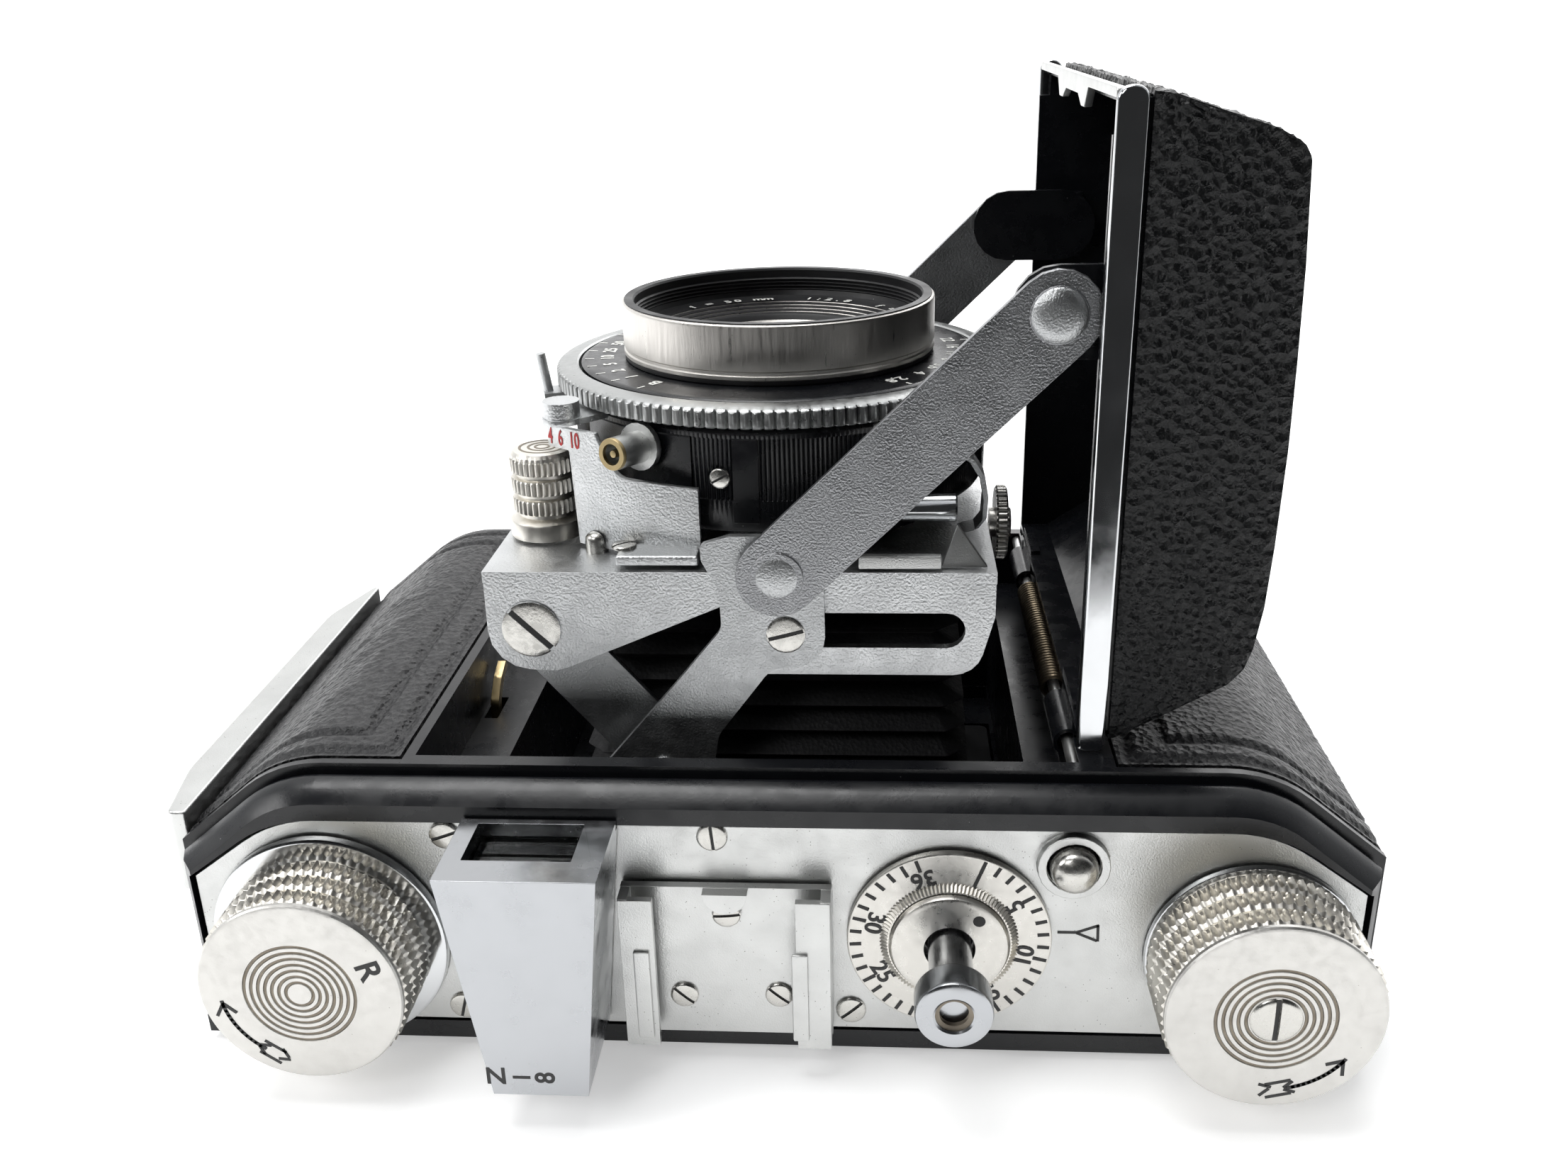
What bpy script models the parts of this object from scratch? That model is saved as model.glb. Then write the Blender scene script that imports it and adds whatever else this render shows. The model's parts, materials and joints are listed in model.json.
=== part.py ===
"""A 35 mm folding camera: scissor-arm lens standard, side-opening front door, knobs and shoe on the top plate.

Frame: metres. The origin is on the rest face of the back, straight under the lens axis. +Z is the way the
lens looks, -Y is the camera's top plate and +X is the door's hinge side. At rest the door is open 90 degrees
and the lens standard is fully out.
"""

import math

import bmesh
import bpy
from mathutils import Matrix, Vector

MM = 0.001
GAP = 0.3  # clearance between neighbouring pieces, in mm like every size below
SKIN_GAP = 0.15  # between a covering and what it covers

# Body casting
BODY_HALF_WIDTH = 59.8
BODY_FRONT = 31.5
RIM_OUT = 37.8  # how far the end rims stand from the lens axis, along Y
PLATE_OUT = 37.0  # outer face of the top and base plates
PLATE_THICK = 1.2
PLATE_BACK = 3.3
SHOULDER_START = 44.0
SHOULDER_RADIUS = 13.0
SHOULDER_TURN = math.radians(39)
COVERING = 0.7  # leather thickness
COVERING_OUT = 32.6

# Front opening and the chambers behind it
OPEN_LEFT, OPEN_RIGHT, OPEN_OUT = -35.0, 30.3, 32.05
RECESS_FLOOR = 24.0
WELL_LEFT, WELL_RIGHT, WELL_OUT, WELL_FLOOR = -29.5, 26.5, 31.5, 8.2
CHANNEL_IN, CHANNEL_FLOOR = 25.0, 6.3  # deeper room for the arms and cheeks when folded
FILM_PLANE = 6.6
FILM_HALF = 24.0  # half height of the film chambers
GATE_WIDE, GATE_HIGH = 36.0, 24.0

# Knobs, counter and releases on the top plate
REWIND_X, WIND_X, KNOB_Z = -44.1, 47.1, 13.35
SUPPLY_RADIUS, TAKE_UP_RADIUS = 12.8, 10.8
COUNTER_X, COUNTER_Z, COUNTER_RADIUS = 17.9, 14.8, 9.96
SPROCKET_X, SPROCKET_Z, SPROCKET_RADIUS = 34.4, 12.0, 4.7
UNLOCK_X, UNLOCK_Z = 29.55, 23.3
RELEASE_X, RELEASE_Z = -46.0, 17.0  # door release, on the base
BUSH_Z = 15.0
SHOE_X, SHOE_HALF, SHOE_BACK, SHOE_FRONT = -3.8, 10.3, 3.4, 20.7

# Scissor arms, in the XZ plane
ARM_FOOT = (-23.58, 12.4)
ARM_HALF = 19.79  # centre pin to each end
ARM_OPEN = math.radians(49.91)
STRUT_LOW = (1.22, 49.07)
STRUT_HIGH = (26.73, 73.93)
DOOR_AXIS = (30.03, 30.4)

# Layers along Y of the moving plates, outer face then inner face, mirrored on the far side
STRUT_LAYER = (28.4, 27.6)
ARM_LAYER = (27.3, 26.5)
SIDE_LAYER = (26.2, 25.2)
CROSS_LAYER = (24.9, 24.1)
RAIL_LAYER = (23.8, 22.9)

# Lens standard and shutter, along Z
STANDARD_TOP = 48.8
STANDARD_SHEET = 1.2
SHUTTER_RADIUS = 22.6
RING_RADIUS = 24.3
LENS_TOP = 70.9
LENS_RADIUS = 16.9

# Door, open: its rim plane faces -X
DOOR_RIM, DOOR_OUTER = 30.2, 47.2
DOOR_FOOT, DOOR_TOP = 31.6, 93.0
DOOR_OUT = 30.35  # half length along Y
DOOR_WALL = 0.6
DOOR_HIDE = 0.55  # leather on the door
DOOR_INSET = DOOR_HIDE + 0.12
KNUCKLE = 1.5

# Back cover and its hinge
BACK_AXIS = (61.0, 2.0)
BACK_OUT = 37.0

FINISHES = {
    "black_paint": ((0.012, 0.013, 0.015), 0.0, 0.32),
    "leather": ((0.018, 0.018, 0.02), 0.0, 0.6),
    "satin_chrome": ((0.72, 0.72, 0.7), 1.0, 0.36),
    "bright_chrome": ((0.83, 0.84, 0.86), 1.0, 0.12),
    "blackened_metal": ((0.03, 0.03, 0.032), 0.6, 0.45),
    "brass": ((0.7, 0.55, 0.28), 1.0, 0.35),
    "glass": ((0.55, 0.6, 0.66), 0.0, 0.05),
    "bellows_leather": ((0.015, 0.015, 0.017), 0.0, 0.7),
}

NEAR, FAR = -1, 1
SIDES = (("near", NEAR), ("far", FAR))

for leftover in list(bpy.data.objects):
    bpy.data.objects.remove(leftover, do_unlink=True)

PARTS = bpy.data.collections.new("folding_camera")
CUTTERS = bpy.data.collections.new("cutters")
bpy.context.scene.collection.children.link(PARTS)
bpy.context.scene.collection.children.link(CUTTERS)


# ---------------------------------------------------------------- outlines


def turn(angle, length):
    return Vector((math.cos(angle) * length, math.sin(angle) * length))


def circle(centre, radius, steps=24):
    return [Vector(centre) + turn(math.tau * i / steps, radius) for i in range(steps)]


def arc(centre, radius, start, end, steps=8):
    span = math.radians(end - start)
    return [Vector(centre) + turn(math.radians(start) + span * i / steps, radius) for i in range(steps + 1)]


def capsule(first, last, radius, steps=9):
    """Outline of a bar with round ends."""
    along = math.degrees(math.atan2(last[1] - first[1], last[0] - first[0]))
    tail = arc(first, radius, along + 90, along + 270, steps)
    return tail + arc(last, radius, along - 90, along + 90, steps)


def rounded(corners, steps=5):
    """Outline through (x, y, radius) corners, each rounded by its radius."""
    points = []
    for i, (x, y, radius) in enumerate(corners):
        here = Vector((x, y))
        if radius <= 0:
            points.append(here)
            continue
        back = (Vector(corners[i - 1][:2]) - here).normalized()
        ahead = (Vector(corners[(i + 1) % len(corners)][:2]) - here).normalized()
        half = back.angle(ahead) / 2
        reach = radius / math.tan(half)
        middle = here + (back + ahead).normalized() * (radius / math.sin(half))
        start = here + back * reach - middle
        swing = start.angle_signed(here + ahead * reach - middle)
        for k in range(steps + 1):
            points.append(middle + Matrix.Rotation(-swing * k / steps, 2) @ start)
    return points


def shoulder_half(front, half_width, radius, slope, back):
    """Front half-section on +X: flat front, round shoulder, sloping flank, side down to back."""
    middle = Vector((SHOULDER_START, front - radius))
    angle = math.degrees(slope)
    curve = arc(middle, radius, 90, 90 - angle, 6)
    corner = curve[-1].y - (half_width - curve[-1].x) * math.tan(slope)
    return curve + [Vector((half_width, corner)), Vector((half_width, back))]


def shoulder_outline(front, half_width, radius, slope, back):
    right = shoulder_half(front, half_width, radius, slope, back)
    left = [Vector((-p.x, p.y)) for p in reversed(right)]
    return right + left


def body_section(inset):
    return shoulder_outline(
        BODY_FRONT - inset, BODY_HALF_WIDTH - inset, SHOULDER_RADIUS - inset, SHOULDER_TURN, PLATE_BACK
    )


def plate_outline(grow=0.0, back=PLATE_BACK):
    return shoulder_outline(26.9 + grow, 57.4 + grow, 13 + grow, math.radians(36), back)


# ---------------------------------------------------------------- solids


def place(name, mesh, finish):
    """A mesh as an object: a named part with its own material, or a hidden cutter."""
    body = bpy.data.objects.new(name, mesh)
    if finish is None:
        CUTTERS.objects.link(body)
        body.hide_render = True
        body.display_type = "WIRE"
        return body
    PARTS.objects.link(body)
    colour, metallic, roughness = FINISHES[finish]
    look = bpy.data.materials.new(name)
    look.use_nodes = True
    shader = look.node_tree.nodes["Principled BSDF"]
    shader.inputs["Base Color"].default_value = (*colour, 1)
    shader.inputs["Metallic"].default_value = metallic
    shader.inputs["Roughness"].default_value = roughness
    mesh.materials.append(look)
    return body


def mesh_from(name, bm):
    bmesh.ops.recalc_face_normals(bm, faces=bm.faces)
    mesh = bpy.data.meshes.new(name)
    bm.to_mesh(mesh)
    bm.free()
    return mesh


def box(name, low, high, finish=None):
    low, high = Vector(low) * MM, Vector(high) * MM
    bm = bmesh.new()
    size = Matrix.Diagonal((*(high - low), 1))
    bmesh.ops.create_cube(bm, size=1, matrix=Matrix.Translation((low + high) / 2) @ size)
    return place(name, mesh_from(name, bm), finish)


def rod(name, start, end, radius, finish=None, steps=24):
    start, end = Vector(start) * MM, Vector(end) * MM
    axis = end - start
    aim = axis.to_track_quat("Z", "Y").to_matrix().to_4x4()
    bm = bmesh.new()
    bmesh.ops.create_cone(
        bm, cap_ends=True, segments=steps, radius1=radius * MM, radius2=radius * MM,
        depth=axis.length, matrix=Matrix.Translation((start + end) / 2) @ aim,
    )
    body = place(name, mesh_from(name, bm), finish)
    body.data.shade_smooth()
    body.data.set_sharp_from_angle(angle=math.radians(40))
    return body


def tube(name, start, end, radius, bore, finish, steps=24):
    body = rod(name, start, end, radius, finish, steps)
    along = (Vector(end) - Vector(start)).normalized()
    cut(body, rod(name + "_bore", Vector(start) - along, Vector(end) + along, bore, steps=steps))
    return body


PLANES = {
    "XY": Matrix.Identity(4),
    "XZ": Matrix.Rotation(math.pi / 2, 4, "X"),
    "YZ": Matrix(((0, 0, 1, 0), (1, 0, 0, 0), (0, 1, 0, 0), (0, 0, 0, 1))),
}


def plate(name, outlines, plane, low, high, finish=None):
    """A flat outline, with any holes after it, extruded across its plane from low to high."""
    curve = bpy.data.curves.new(name, "CURVE")
    curve.dimensions = "2D"
    curve.fill_mode = "BOTH"
    curve.extrude = (high - low) / 2 * MM
    for points in outlines:
        spline = curve.splines.new("POLY")
        spline.points.add(len(points) - 1)
        spline.use_cyclic_u = True
        for point, (x, y) in zip(spline.points, points):
            point.co = (x * MM, y * MM, 0, 1)
    guide = bpy.data.objects.new(name + "_outline", curve)
    CUTTERS.objects.link(guide)
    view = bpy.context.evaluated_depsgraph_get()
    mesh = bpy.data.meshes.new_from_object(guide.evaluated_get(view))
    bpy.data.objects.remove(guide, do_unlink=True)
    bm = bmesh.new()
    bm.from_mesh(mesh)
    bmesh.ops.remove_doubles(bm, verts=bm.verts, dist=0.001 * MM)
    across = (low + high) / 2 * MM
    shift = {"XY": (0, 0, across), "XZ": (0, across, 0), "YZ": (across, 0, 0)}[plane]
    bmesh.ops.transform(bm, matrix=Matrix.Translation(shift) @ PLANES[plane], verts=bm.verts)
    return place(name, mesh_from(name, bm), finish)


AIMS = {
    "+Z": Matrix.Identity(4),
    "-Y": Matrix.Rotation(math.pi / 2, 4, "X"),
    "+Y": Matrix.Rotation(-math.pi / 2, 4, "X"),
}


def turned(name, profile, finish=None, at=(0, 0, 0), aim="+Z", ring=False, steps=40):
    """A profile of (radius, height), down its outer side, spun about its axis. A ring's profile closes."""
    bm = bmesh.new()
    points = [bm.verts.new((radius * MM, 0, height * MM)) for radius, height in profile]
    for first, second in zip(points, points[1:]):
        bm.edges.new((first, second))
    if ring:
        bm.edges.new((points[-1], points[0]))
    mesh = bpy.data.meshes.new(name)
    bm.to_mesh(mesh)
    bm.free()
    body = place(name, mesh, finish)
    body.matrix_world = Matrix.Translation(Vector(at) * MM) @ AIMS[aim]
    screw = body.modifiers.new("turn", "SCREW")
    screw.steps = steps
    screw.render_steps = steps
    screw.use_merge_vertices = True
    screw.merge_threshold = 0.00001
    screw.use_smooth_shade = False
    return body


def loft(name, rings, finish=None):
    """A closed body through rings of the same number of points."""
    bm = bmesh.new()
    rows = [[bm.verts.new(Vector(p) * MM) for p in ring] for ring in rings]
    for first, second in zip(rows, rows[1:]):
        for i, corner in enumerate(first):
            after = (i + 1) % len(first)
            bm.faces.new((corner, first[after], second[after], second[i]))
    bm.faces.new(rows[0])
    bm.faces.new(reversed(rows[-1]))
    return place(name, mesh_from(name, bm), finish)


def combine(body, tools, operation):
    for tool in tools:
        step = body.modifiers.new(operation.lower(), "BOOLEAN")
        step.operation = operation
        step.object = tool
    return body


def cut(body, *tools):
    return combine(body, tools, "DIFFERENCE")


def fuse(body, *tools):
    return combine(body, tools, "UNION")


def layer(side, pair):
    """Low and high Y of a plate layer on the near or far side."""
    return sorted((side * pair[0], side * pair[1]))


# ---------------------------------------------------------------- joints


def pivot(name, x, y, z, *bodies):
    """An empty on a joint's axis, with the pieces that move on it."""
    empty = bpy.data.objects.new(name, None)
    PARTS.objects.link(empty)
    empty.location = Vector((x, y, z)) * MM
    for body in bodies:
        home = body.matrix_world.copy()
        body.parent = empty
        body.matrix_parent_inverse = Matrix.Translation(empty.location).inverted()
        body.matrix_basis = home
    return empty


def arm_point(length, angle=ARM_OPEN):
    return Vector(ARM_FOOT) + turn(angle, length)


CENTRE_PIN = arm_point(ARM_HALF)
SLOT_PIN = arm_point(2 * ARM_HALF)
STANDARD_PIN = Vector((ARM_FOOT[0], SLOT_PIN.y))
RAIL_PIN = Vector((SLOT_PIN.x, ARM_FOOT[1]))


# ---------------------------------------------------------------- body


def body_casting():
    stations = [(RIM_OUT, 2.4), (36.6, 1.3), (35.2, 0.8), (34.5, 0.9), (34.3, 1.5), (33.9, 1.5), (33.8, 0.0)]
    near = [(-y, inset) for y, inset in stations]
    rings = [[(p.x, y, p.y) for p in body_section(inset)] for y, inset in near]
    rings += [[(p.x, -y, p.y) for p in body_section(inset)] for y, inset in reversed(near)]
    body = loft("body_casting", rings, "black_paint")
    for side in (NEAR, FAR):
        seat = layer(side, (RIM_OUT + 1, PLATE_OUT - PLATE_THICK - GAP))
        cut(body, plate("plate_seat", [plate_outline(0.4, 0)], "XZ", *seat))
    for hand in (-1, 1):
        seat = [Vector((hand * p[0], p[1])) for p in covering_outline(hand, -1.0, COVERING + SKIN_GAP, 0.3)]
        cut(body, plate("covering_seat", [seat], "XZ", -COVERING_OUT - GAP, COVERING_OUT + GAP))
    low = FILM_PLANE
    cut(
        body,
        rod("supply_chamber", (REWIND_X, -FILM_HALF, KNOB_Z), (REWIND_X, FILM_HALF, KNOB_Z), SUPPLY_RADIUS, steps=32),
        rod("take_up_chamber", (WIND_X, -FILM_HALF, KNOB_Z), (WIND_X, FILM_HALF, KNOB_Z), TAKE_UP_RADIUS, steps=32),
        box("supply_mouth", (REWIND_X - 12.5, -23.9, 0), (REWIND_X + 12.5, 23.9, KNOB_Z)),
        box("take_up_mouth", (WIND_X - 10.5, -23.9, 0), (WIND_X + 10.5, 23.9, KNOB_Z)),
        box("sprocket_pocket", (SPROCKET_X - 5.5, -23.8, 0), (SPROCKET_X + 6, 23.8, SPROCKET_Z + 5.2)),
        box("film_track", (REWIND_X, -18.2, -1), (WIND_X, 18.2, low)),
        box("well", (WELL_LEFT, -WELL_OUT, WELL_FLOOR), (WELL_RIGHT, WELL_OUT, 40)),
        box("channel_near", (WELL_LEFT + 0.1, -WELL_OUT + 0.1, CHANNEL_FLOOR), (WELL_RIGHT - 0.1, -CHANNEL_IN, 20)),
        box("channel_far", (WELL_LEFT + 0.1, CHANNEL_IN, CHANNEL_FLOOR), (WELL_RIGHT - 0.1, WELL_OUT - 0.1, 20)),
        box("recess", (OPEN_LEFT, -OPEN_OUT, RECESS_FLOOR), (OPEN_RIGHT, OPEN_OUT, 41)),
        box("knuckle_room", (29, -27, RECESS_FLOOR + 0.5), (32.4, 27, 42)),
        box("gate_window", (-26, -20, 4), (26, 20, 12)),
        rod("hinge_rod_hole", (DOOR_AXIS[0], -33.6, DOOR_AXIS[1]), (DOOR_AXIS[0], 33.6, DOOR_AXIS[1]), 0.95),
        box("latch_slot", (-34.7, -9.8, 22.5), (-33.1, -4.4, 26)),
    )
    for side_name, side in SIDES:
        post = rod("arm_post_" + side_name, (ARM_FOOT[0], side * 33, ARM_FOOT[1]),
                   (ARM_FOOT[0], side * ARM_LAYER[1], ARM_FOOT[1]), 1.5)
        collar = rod("arm_collar_" + side_name, (ARM_FOOT[0], side * 33.2, ARM_FOOT[1]),
                     (ARM_FOOT[0], side * (ARM_LAYER[0] + GAP), ARM_FOOT[1]), 2.9)
        fuse(body, post, collar)
        slot = capsule((RAIL_PIN.x - 0.2, RAIL_PIN.y), (15.9, RAIL_PIN.y), 1.8)
        outline = rounded([(-2.5, 7.6, 0), (19.5, 7.6, 0), (19.5, 15.2, 1.5), (-2.5, 15.2, 1.5)])
        fuse(body, plate("slide_rail_" + side_name, [outline, slot], "XZ", *layer(side, RAIL_LAYER)))
    for x in (REWIND_X, WIND_X):
        cut(body, rod("shaft_hole", (x, -22, KNOB_Z), (x, -40, KNOB_Z), 3.0))
    knuckle = rod("casting_knuckle", (BACK_AXIS[0], -8.5, BACK_AXIS[1]), (BACK_AXIS[0], 8.5, BACK_AXIS[1]), 1.6)
    lug = box("casting_lug", (59.6, -8.4, BACK_AXIS[1] - 0.4), (62.4, 8.4, 7.0))
    root = box("casting_lug_root", (57.6, -8.3, 4.4), (60.0, 8.3, 6.9))
    fuse(body, root, lug, knuckle)
    cut(body, rod("casting_knuckle_bore", (BACK_AXIS[0], -10, BACK_AXIS[1]), (BACK_AXIS[0], 10, BACK_AXIS[1]), 1.1))
    cut(
        body,
        rod("release_well", (COUNTER_X, -33.2, COUNTER_Z), (COUNTER_X, -38, COUNTER_Z), 2.6),
        rod("unlock_well", (UNLOCK_X, -33.3, UNLOCK_Z), (UNLOCK_X, -38, UNLOCK_Z), 2.7),
        rod("base_release_well", (RELEASE_X, 34.3, RELEASE_Z), (RELEASE_X, 38, RELEASE_Z), 3.2),
        rod("bush_well", (0, 34.6, BUSH_Z), (0, 38, BUSH_Z), 6.3),
    )
    return body


def covering_outline(hand, outer, inner, slack=0.0):
    """Band between two insets, from beside the opening round the shoulder to the end corner."""
    start = (36.4 if hand < 0 else 34.0) - slack
    top = shoulder_half(BODY_FRONT - outer, BODY_HALF_WIDTH - outer, SHOULDER_RADIUS - outer, SHOULDER_TURN, 3.6)
    low = shoulder_half(BODY_FRONT - inner, BODY_HALF_WIDTH - inner, SHOULDER_RADIUS - inner, SHOULDER_TURN, 3.6)
    return [Vector((start, top[0].y))] + top + list(reversed(low)) + [Vector((start, low[0].y))]


def leathers():
    for name, hand in (("leather_left", -1), ("leather_right", 1)):
        outline = [Vector((hand * p[0], p[1] + (0.3 if i in (8, 9) else 0)))
                   for i, p in enumerate(covering_outline(hand, 0.0, COVERING))]
        hide = plate(name, [outline], "XZ", -COVERING_OUT, COVERING_OUT, "leather")
        if hand > 0:
            cut(hide, box("lug_notch", (58, -8.8, 0), (61, 8.8, 7.4)))


def end_plates():
    top = plate("top_plate", [plate_outline()], "XZ", -PLATE_OUT, -PLATE_OUT + PLATE_THICK, "satin_chrome")
    for x, z, radius in ((REWIND_X, KNOB_Z, 3), (WIND_X, KNOB_Z, 3), (COUNTER_X, COUNTER_Z, 2.5),
                         (UNLOCK_X, UNLOCK_Z, 3)):
        cut(top, rod("plate_hole", (x, -39, z), (x, -34, z), radius))
    collar = [(3.45, 0.9), (3.45, -0.3), (2.6, -0.3), (2.6, 0.9)]
    fuse(top, turned("unlock_collar", collar, at=(UNLOCK_X, -PLATE_OUT, UNLOCK_Z), aim="-Y", ring=True, steps=24))
    base = plate("base_plate", [plate_outline()], "XZ", PLATE_OUT - PLATE_THICK, PLATE_OUT, "satin_chrome")
    cut(base, rod("bush_hole", (0, 34, BUSH_Z), (0, 39, BUSH_Z), 6.3),
        rod("button_hole", (RELEASE_X, 34, RELEASE_Z), (RELEASE_X, 39, RELEASE_Z), 3.2))
    bush = [(6.0, 2.2), (6.0, -2.0), (3.175, -2.0), (3.175, 2.2)]
    turned("tripod_bush", bush, "satin_chrome", (0, PLATE_OUT, BUSH_Z), "+Y", ring=True, steps=28)


def film_gate():
    gate = plate(
        "film_gate", [rounded([(-25.7, -19.7, 1), (25.7, -19.7, 1), (25.7, 19.7, 1), (-25.7, 19.7, 1)], 2),
                      rounded([(-18, -12, 0), (18, -12, 0), (18, 12, 0), (-18, 12, 0)])],
        "XY", 6.7, 8.1, "blackened_metal",
    )
    for side in (NEAR, FAR):
        low, high = layer(side, (17.9, 17.1))
        fuse(gate, box("film_rail", (-25, low, 6.3), (25, high, 6.9)))


def shoe():
    wall, lip = 1.0, 3.4
    base = box("accessory_shoe", (SHOE_X - SHOE_HALF, -PLATE_OUT - 1.2, SHOE_BACK),
               (SHOE_X + SHOE_HALF, -PLATE_OUT - GAP, SHOE_FRONT), "satin_chrome")
    for hand in (-1, 1):
        edge = SHOE_X + hand * SHOE_HALF
        inner = edge - hand * wall
        tip = edge - hand * lip
        edge -= hand * 0.05
        rail = box("shoe_rail", (min(edge, inner), -PLATE_OUT - 3.4, SHOE_BACK + 0.05),
                   (max(edge, inner), -PLATE_OUT - 0.6, SHOE_FRONT - 0.05))
        edge -= hand * 0.05
        cap = box("shoe_lip", (min(edge, tip), -PLATE_OUT - 3.6, SHOE_BACK + 0.1),
                  (max(edge, tip), -PLATE_OUT - 2.8, SHOE_FRONT - 0.1))
        fuse(base, rail, cap)
    stop = plate("shoe_stop", [arc((SHOE_X, SHOE_FRONT - 0.1), 2.2, 180, 360, 8)], "XZ",
                 -PLATE_OUT - 2.4, -PLATE_OUT - 1.0)
    fuse(base, stop)


def finder():
    top, bottom = -PLATE_OUT - 11.6, -PLATE_OUT - GAP
    outer = [Vector(p) for p in ((-29.0, 28.0), (-14.0, 28.0), (-16.4, 4.0), (-25.6, 4.0))]
    inner = [Vector(p) for p in ((-27.8, 26.6), (-15.2, 26.6), (-17.5, 5.4), (-24.5, 5.4))]
    housing = plate("finder_housing", [outer], "XZ", top, bottom, "bright_chrome")
    cut(
        housing,
        plate("finder_hollow", [inner], "XZ", top + 1.1, bottom - 1.1),
        box("rim_notch", (-31, -RIM_OUT - GAP, 26.8), (-12, -36, 30)),
        box("finder_window", (-27.1, -PLATE_OUT - 8.2, 25), (-16.9, -PLATE_OUT - 1.9, 30)),
        box("finder_eyehole", (-23.7, -PLATE_OUT - 8.0, 2), (-18.5, -PLATE_OUT - 3.0, 7)),
        box("lever_slot", (-23.9, -PLATE_OUT - 2.9, 2), (-18.0, -PLATE_OUT - 1.5, 7)),
    )
    front = [(-27.4, -10.1), (-16.0, -10.1), (-16.0, -1.6), (-27.4, -1.6)]
    ring = [[(x, -PLATE_OUT + y, z) for x, y in front] for z in (24.4, 26.3)]
    lens = loft("finder_front_lens", ring, "glass")
    lens.data.materials[0].node_tree.nodes["Principled BSDF"].inputs["Transmission Weight"].default_value = 0.8
    rod("finder_eyepiece", (-21.1, -PLATE_OUT - 6.2, 5.7), (-21.1, -PLATE_OUT - 6.2, 7.4), 2.9, "glass")
    lever = box("parallax_lever", (-20.0, -PLATE_OUT - 2.6, 1.9), (-18.6, -PLATE_OUT - 1.8, 8.6), "satin_chrome")
    pivot("parallax_slide", -19.3, -PLATE_OUT - 2.2, 5, lever)


def back():
    shell = box("back_cover", (-59.3, -BACK_OUT, 0.85), (59.3, BACK_OUT, 3.0), "black_paint")
    cut(shell, box("back_hollow", (-57.4, 2 - BACK_OUT, 2.0), (57.4, BACK_OUT - 2, 4)))
    cut(shell, box("hinge_relief", (57.9, -9, -1), (60, 9, 5)))
    for side in (NEAR, FAR):
        low, high = layer(side, (28, 10))
        knuckle = rod("back_knuckle", (BACK_AXIS[0], low, BACK_AXIS[1]), (BACK_AXIS[0], high, BACK_AXIS[1]), 1.6)
        leaf = box("back_leaf", (58.0, low + 0.1, 0.95), (BACK_AXIS[0], high - 0.1, 2.3))
        fuse(shell, leaf, knuckle)
        cut(shell, rod("back_knuckle_bore", (BACK_AXIS[0], low - 2, BACK_AXIS[1]),
                       (BACK_AXIS[0], high + 2, BACK_AXIS[1]), 1.1))
    hide = box("back_leather", (-57.2, -35.4, 0), (57.2, 35.4, 0.7), "leather")
    pressure = box("pressure_plate", (-30.0, -16.8, 3.6), (30.0, 16.8, 4.6), "blackened_metal")
    spring = rounded([(-20, -4, 2), (20, -4, 2), (20, 4, 2), (-20, 4, 2)], 3)
    leaf = plate("pressure_spring", [spring], "XY", 2.3, 3.3, "satin_chrome")
    pivot("back_hinge", BACK_AXIS[0], 0, BACK_AXIS[1], shell, hide, pressure, leaf)
    rod("back_hinge_pin", (BACK_AXIS[0], -28, BACK_AXIS[1]), (BACK_AXIS[0], 28, BACK_AXIS[1]), 0.8, "satin_chrome", 16)
    grip = rounded([(-60.1, 29.0, 0), (-60.9, 29.0, 0.5), (-63.7, 19.0, 12), (-63.8, -23.0, 12), (-62.0, -32.0, 0.8),
                    (-60.1, -32.0, 0)], 4)
    bar = plate("back_latch", [grip], "XY", 15.0, 24.5, "bright_chrome")
    pivot("back_latch_slide", -61, 0, 13, bar)


# ---------------------------------------------------------------- top plate controls


def knob_profile(height, radius, flange):
    """Flange, three knurled bands parted by grooves, and a dished face."""
    bands = [(0, height - 1.0), (radius - 0.9, height - 0.7), (radius - 0.3, height), (radius, height - 0.6)]
    step = (height - 3.4) / 3
    for i in range(3):
        top = height - 1.2 - i * step
        bands += [(radius, top), (radius, top - step + 0.7), (radius - 0.7, top - step + 0.5)]
        bands += [(radius - 0.7, top - step + 0.2)]
    return bands + [(flange, 1.7), (flange, 0.4), (0, 0.4)]


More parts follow.
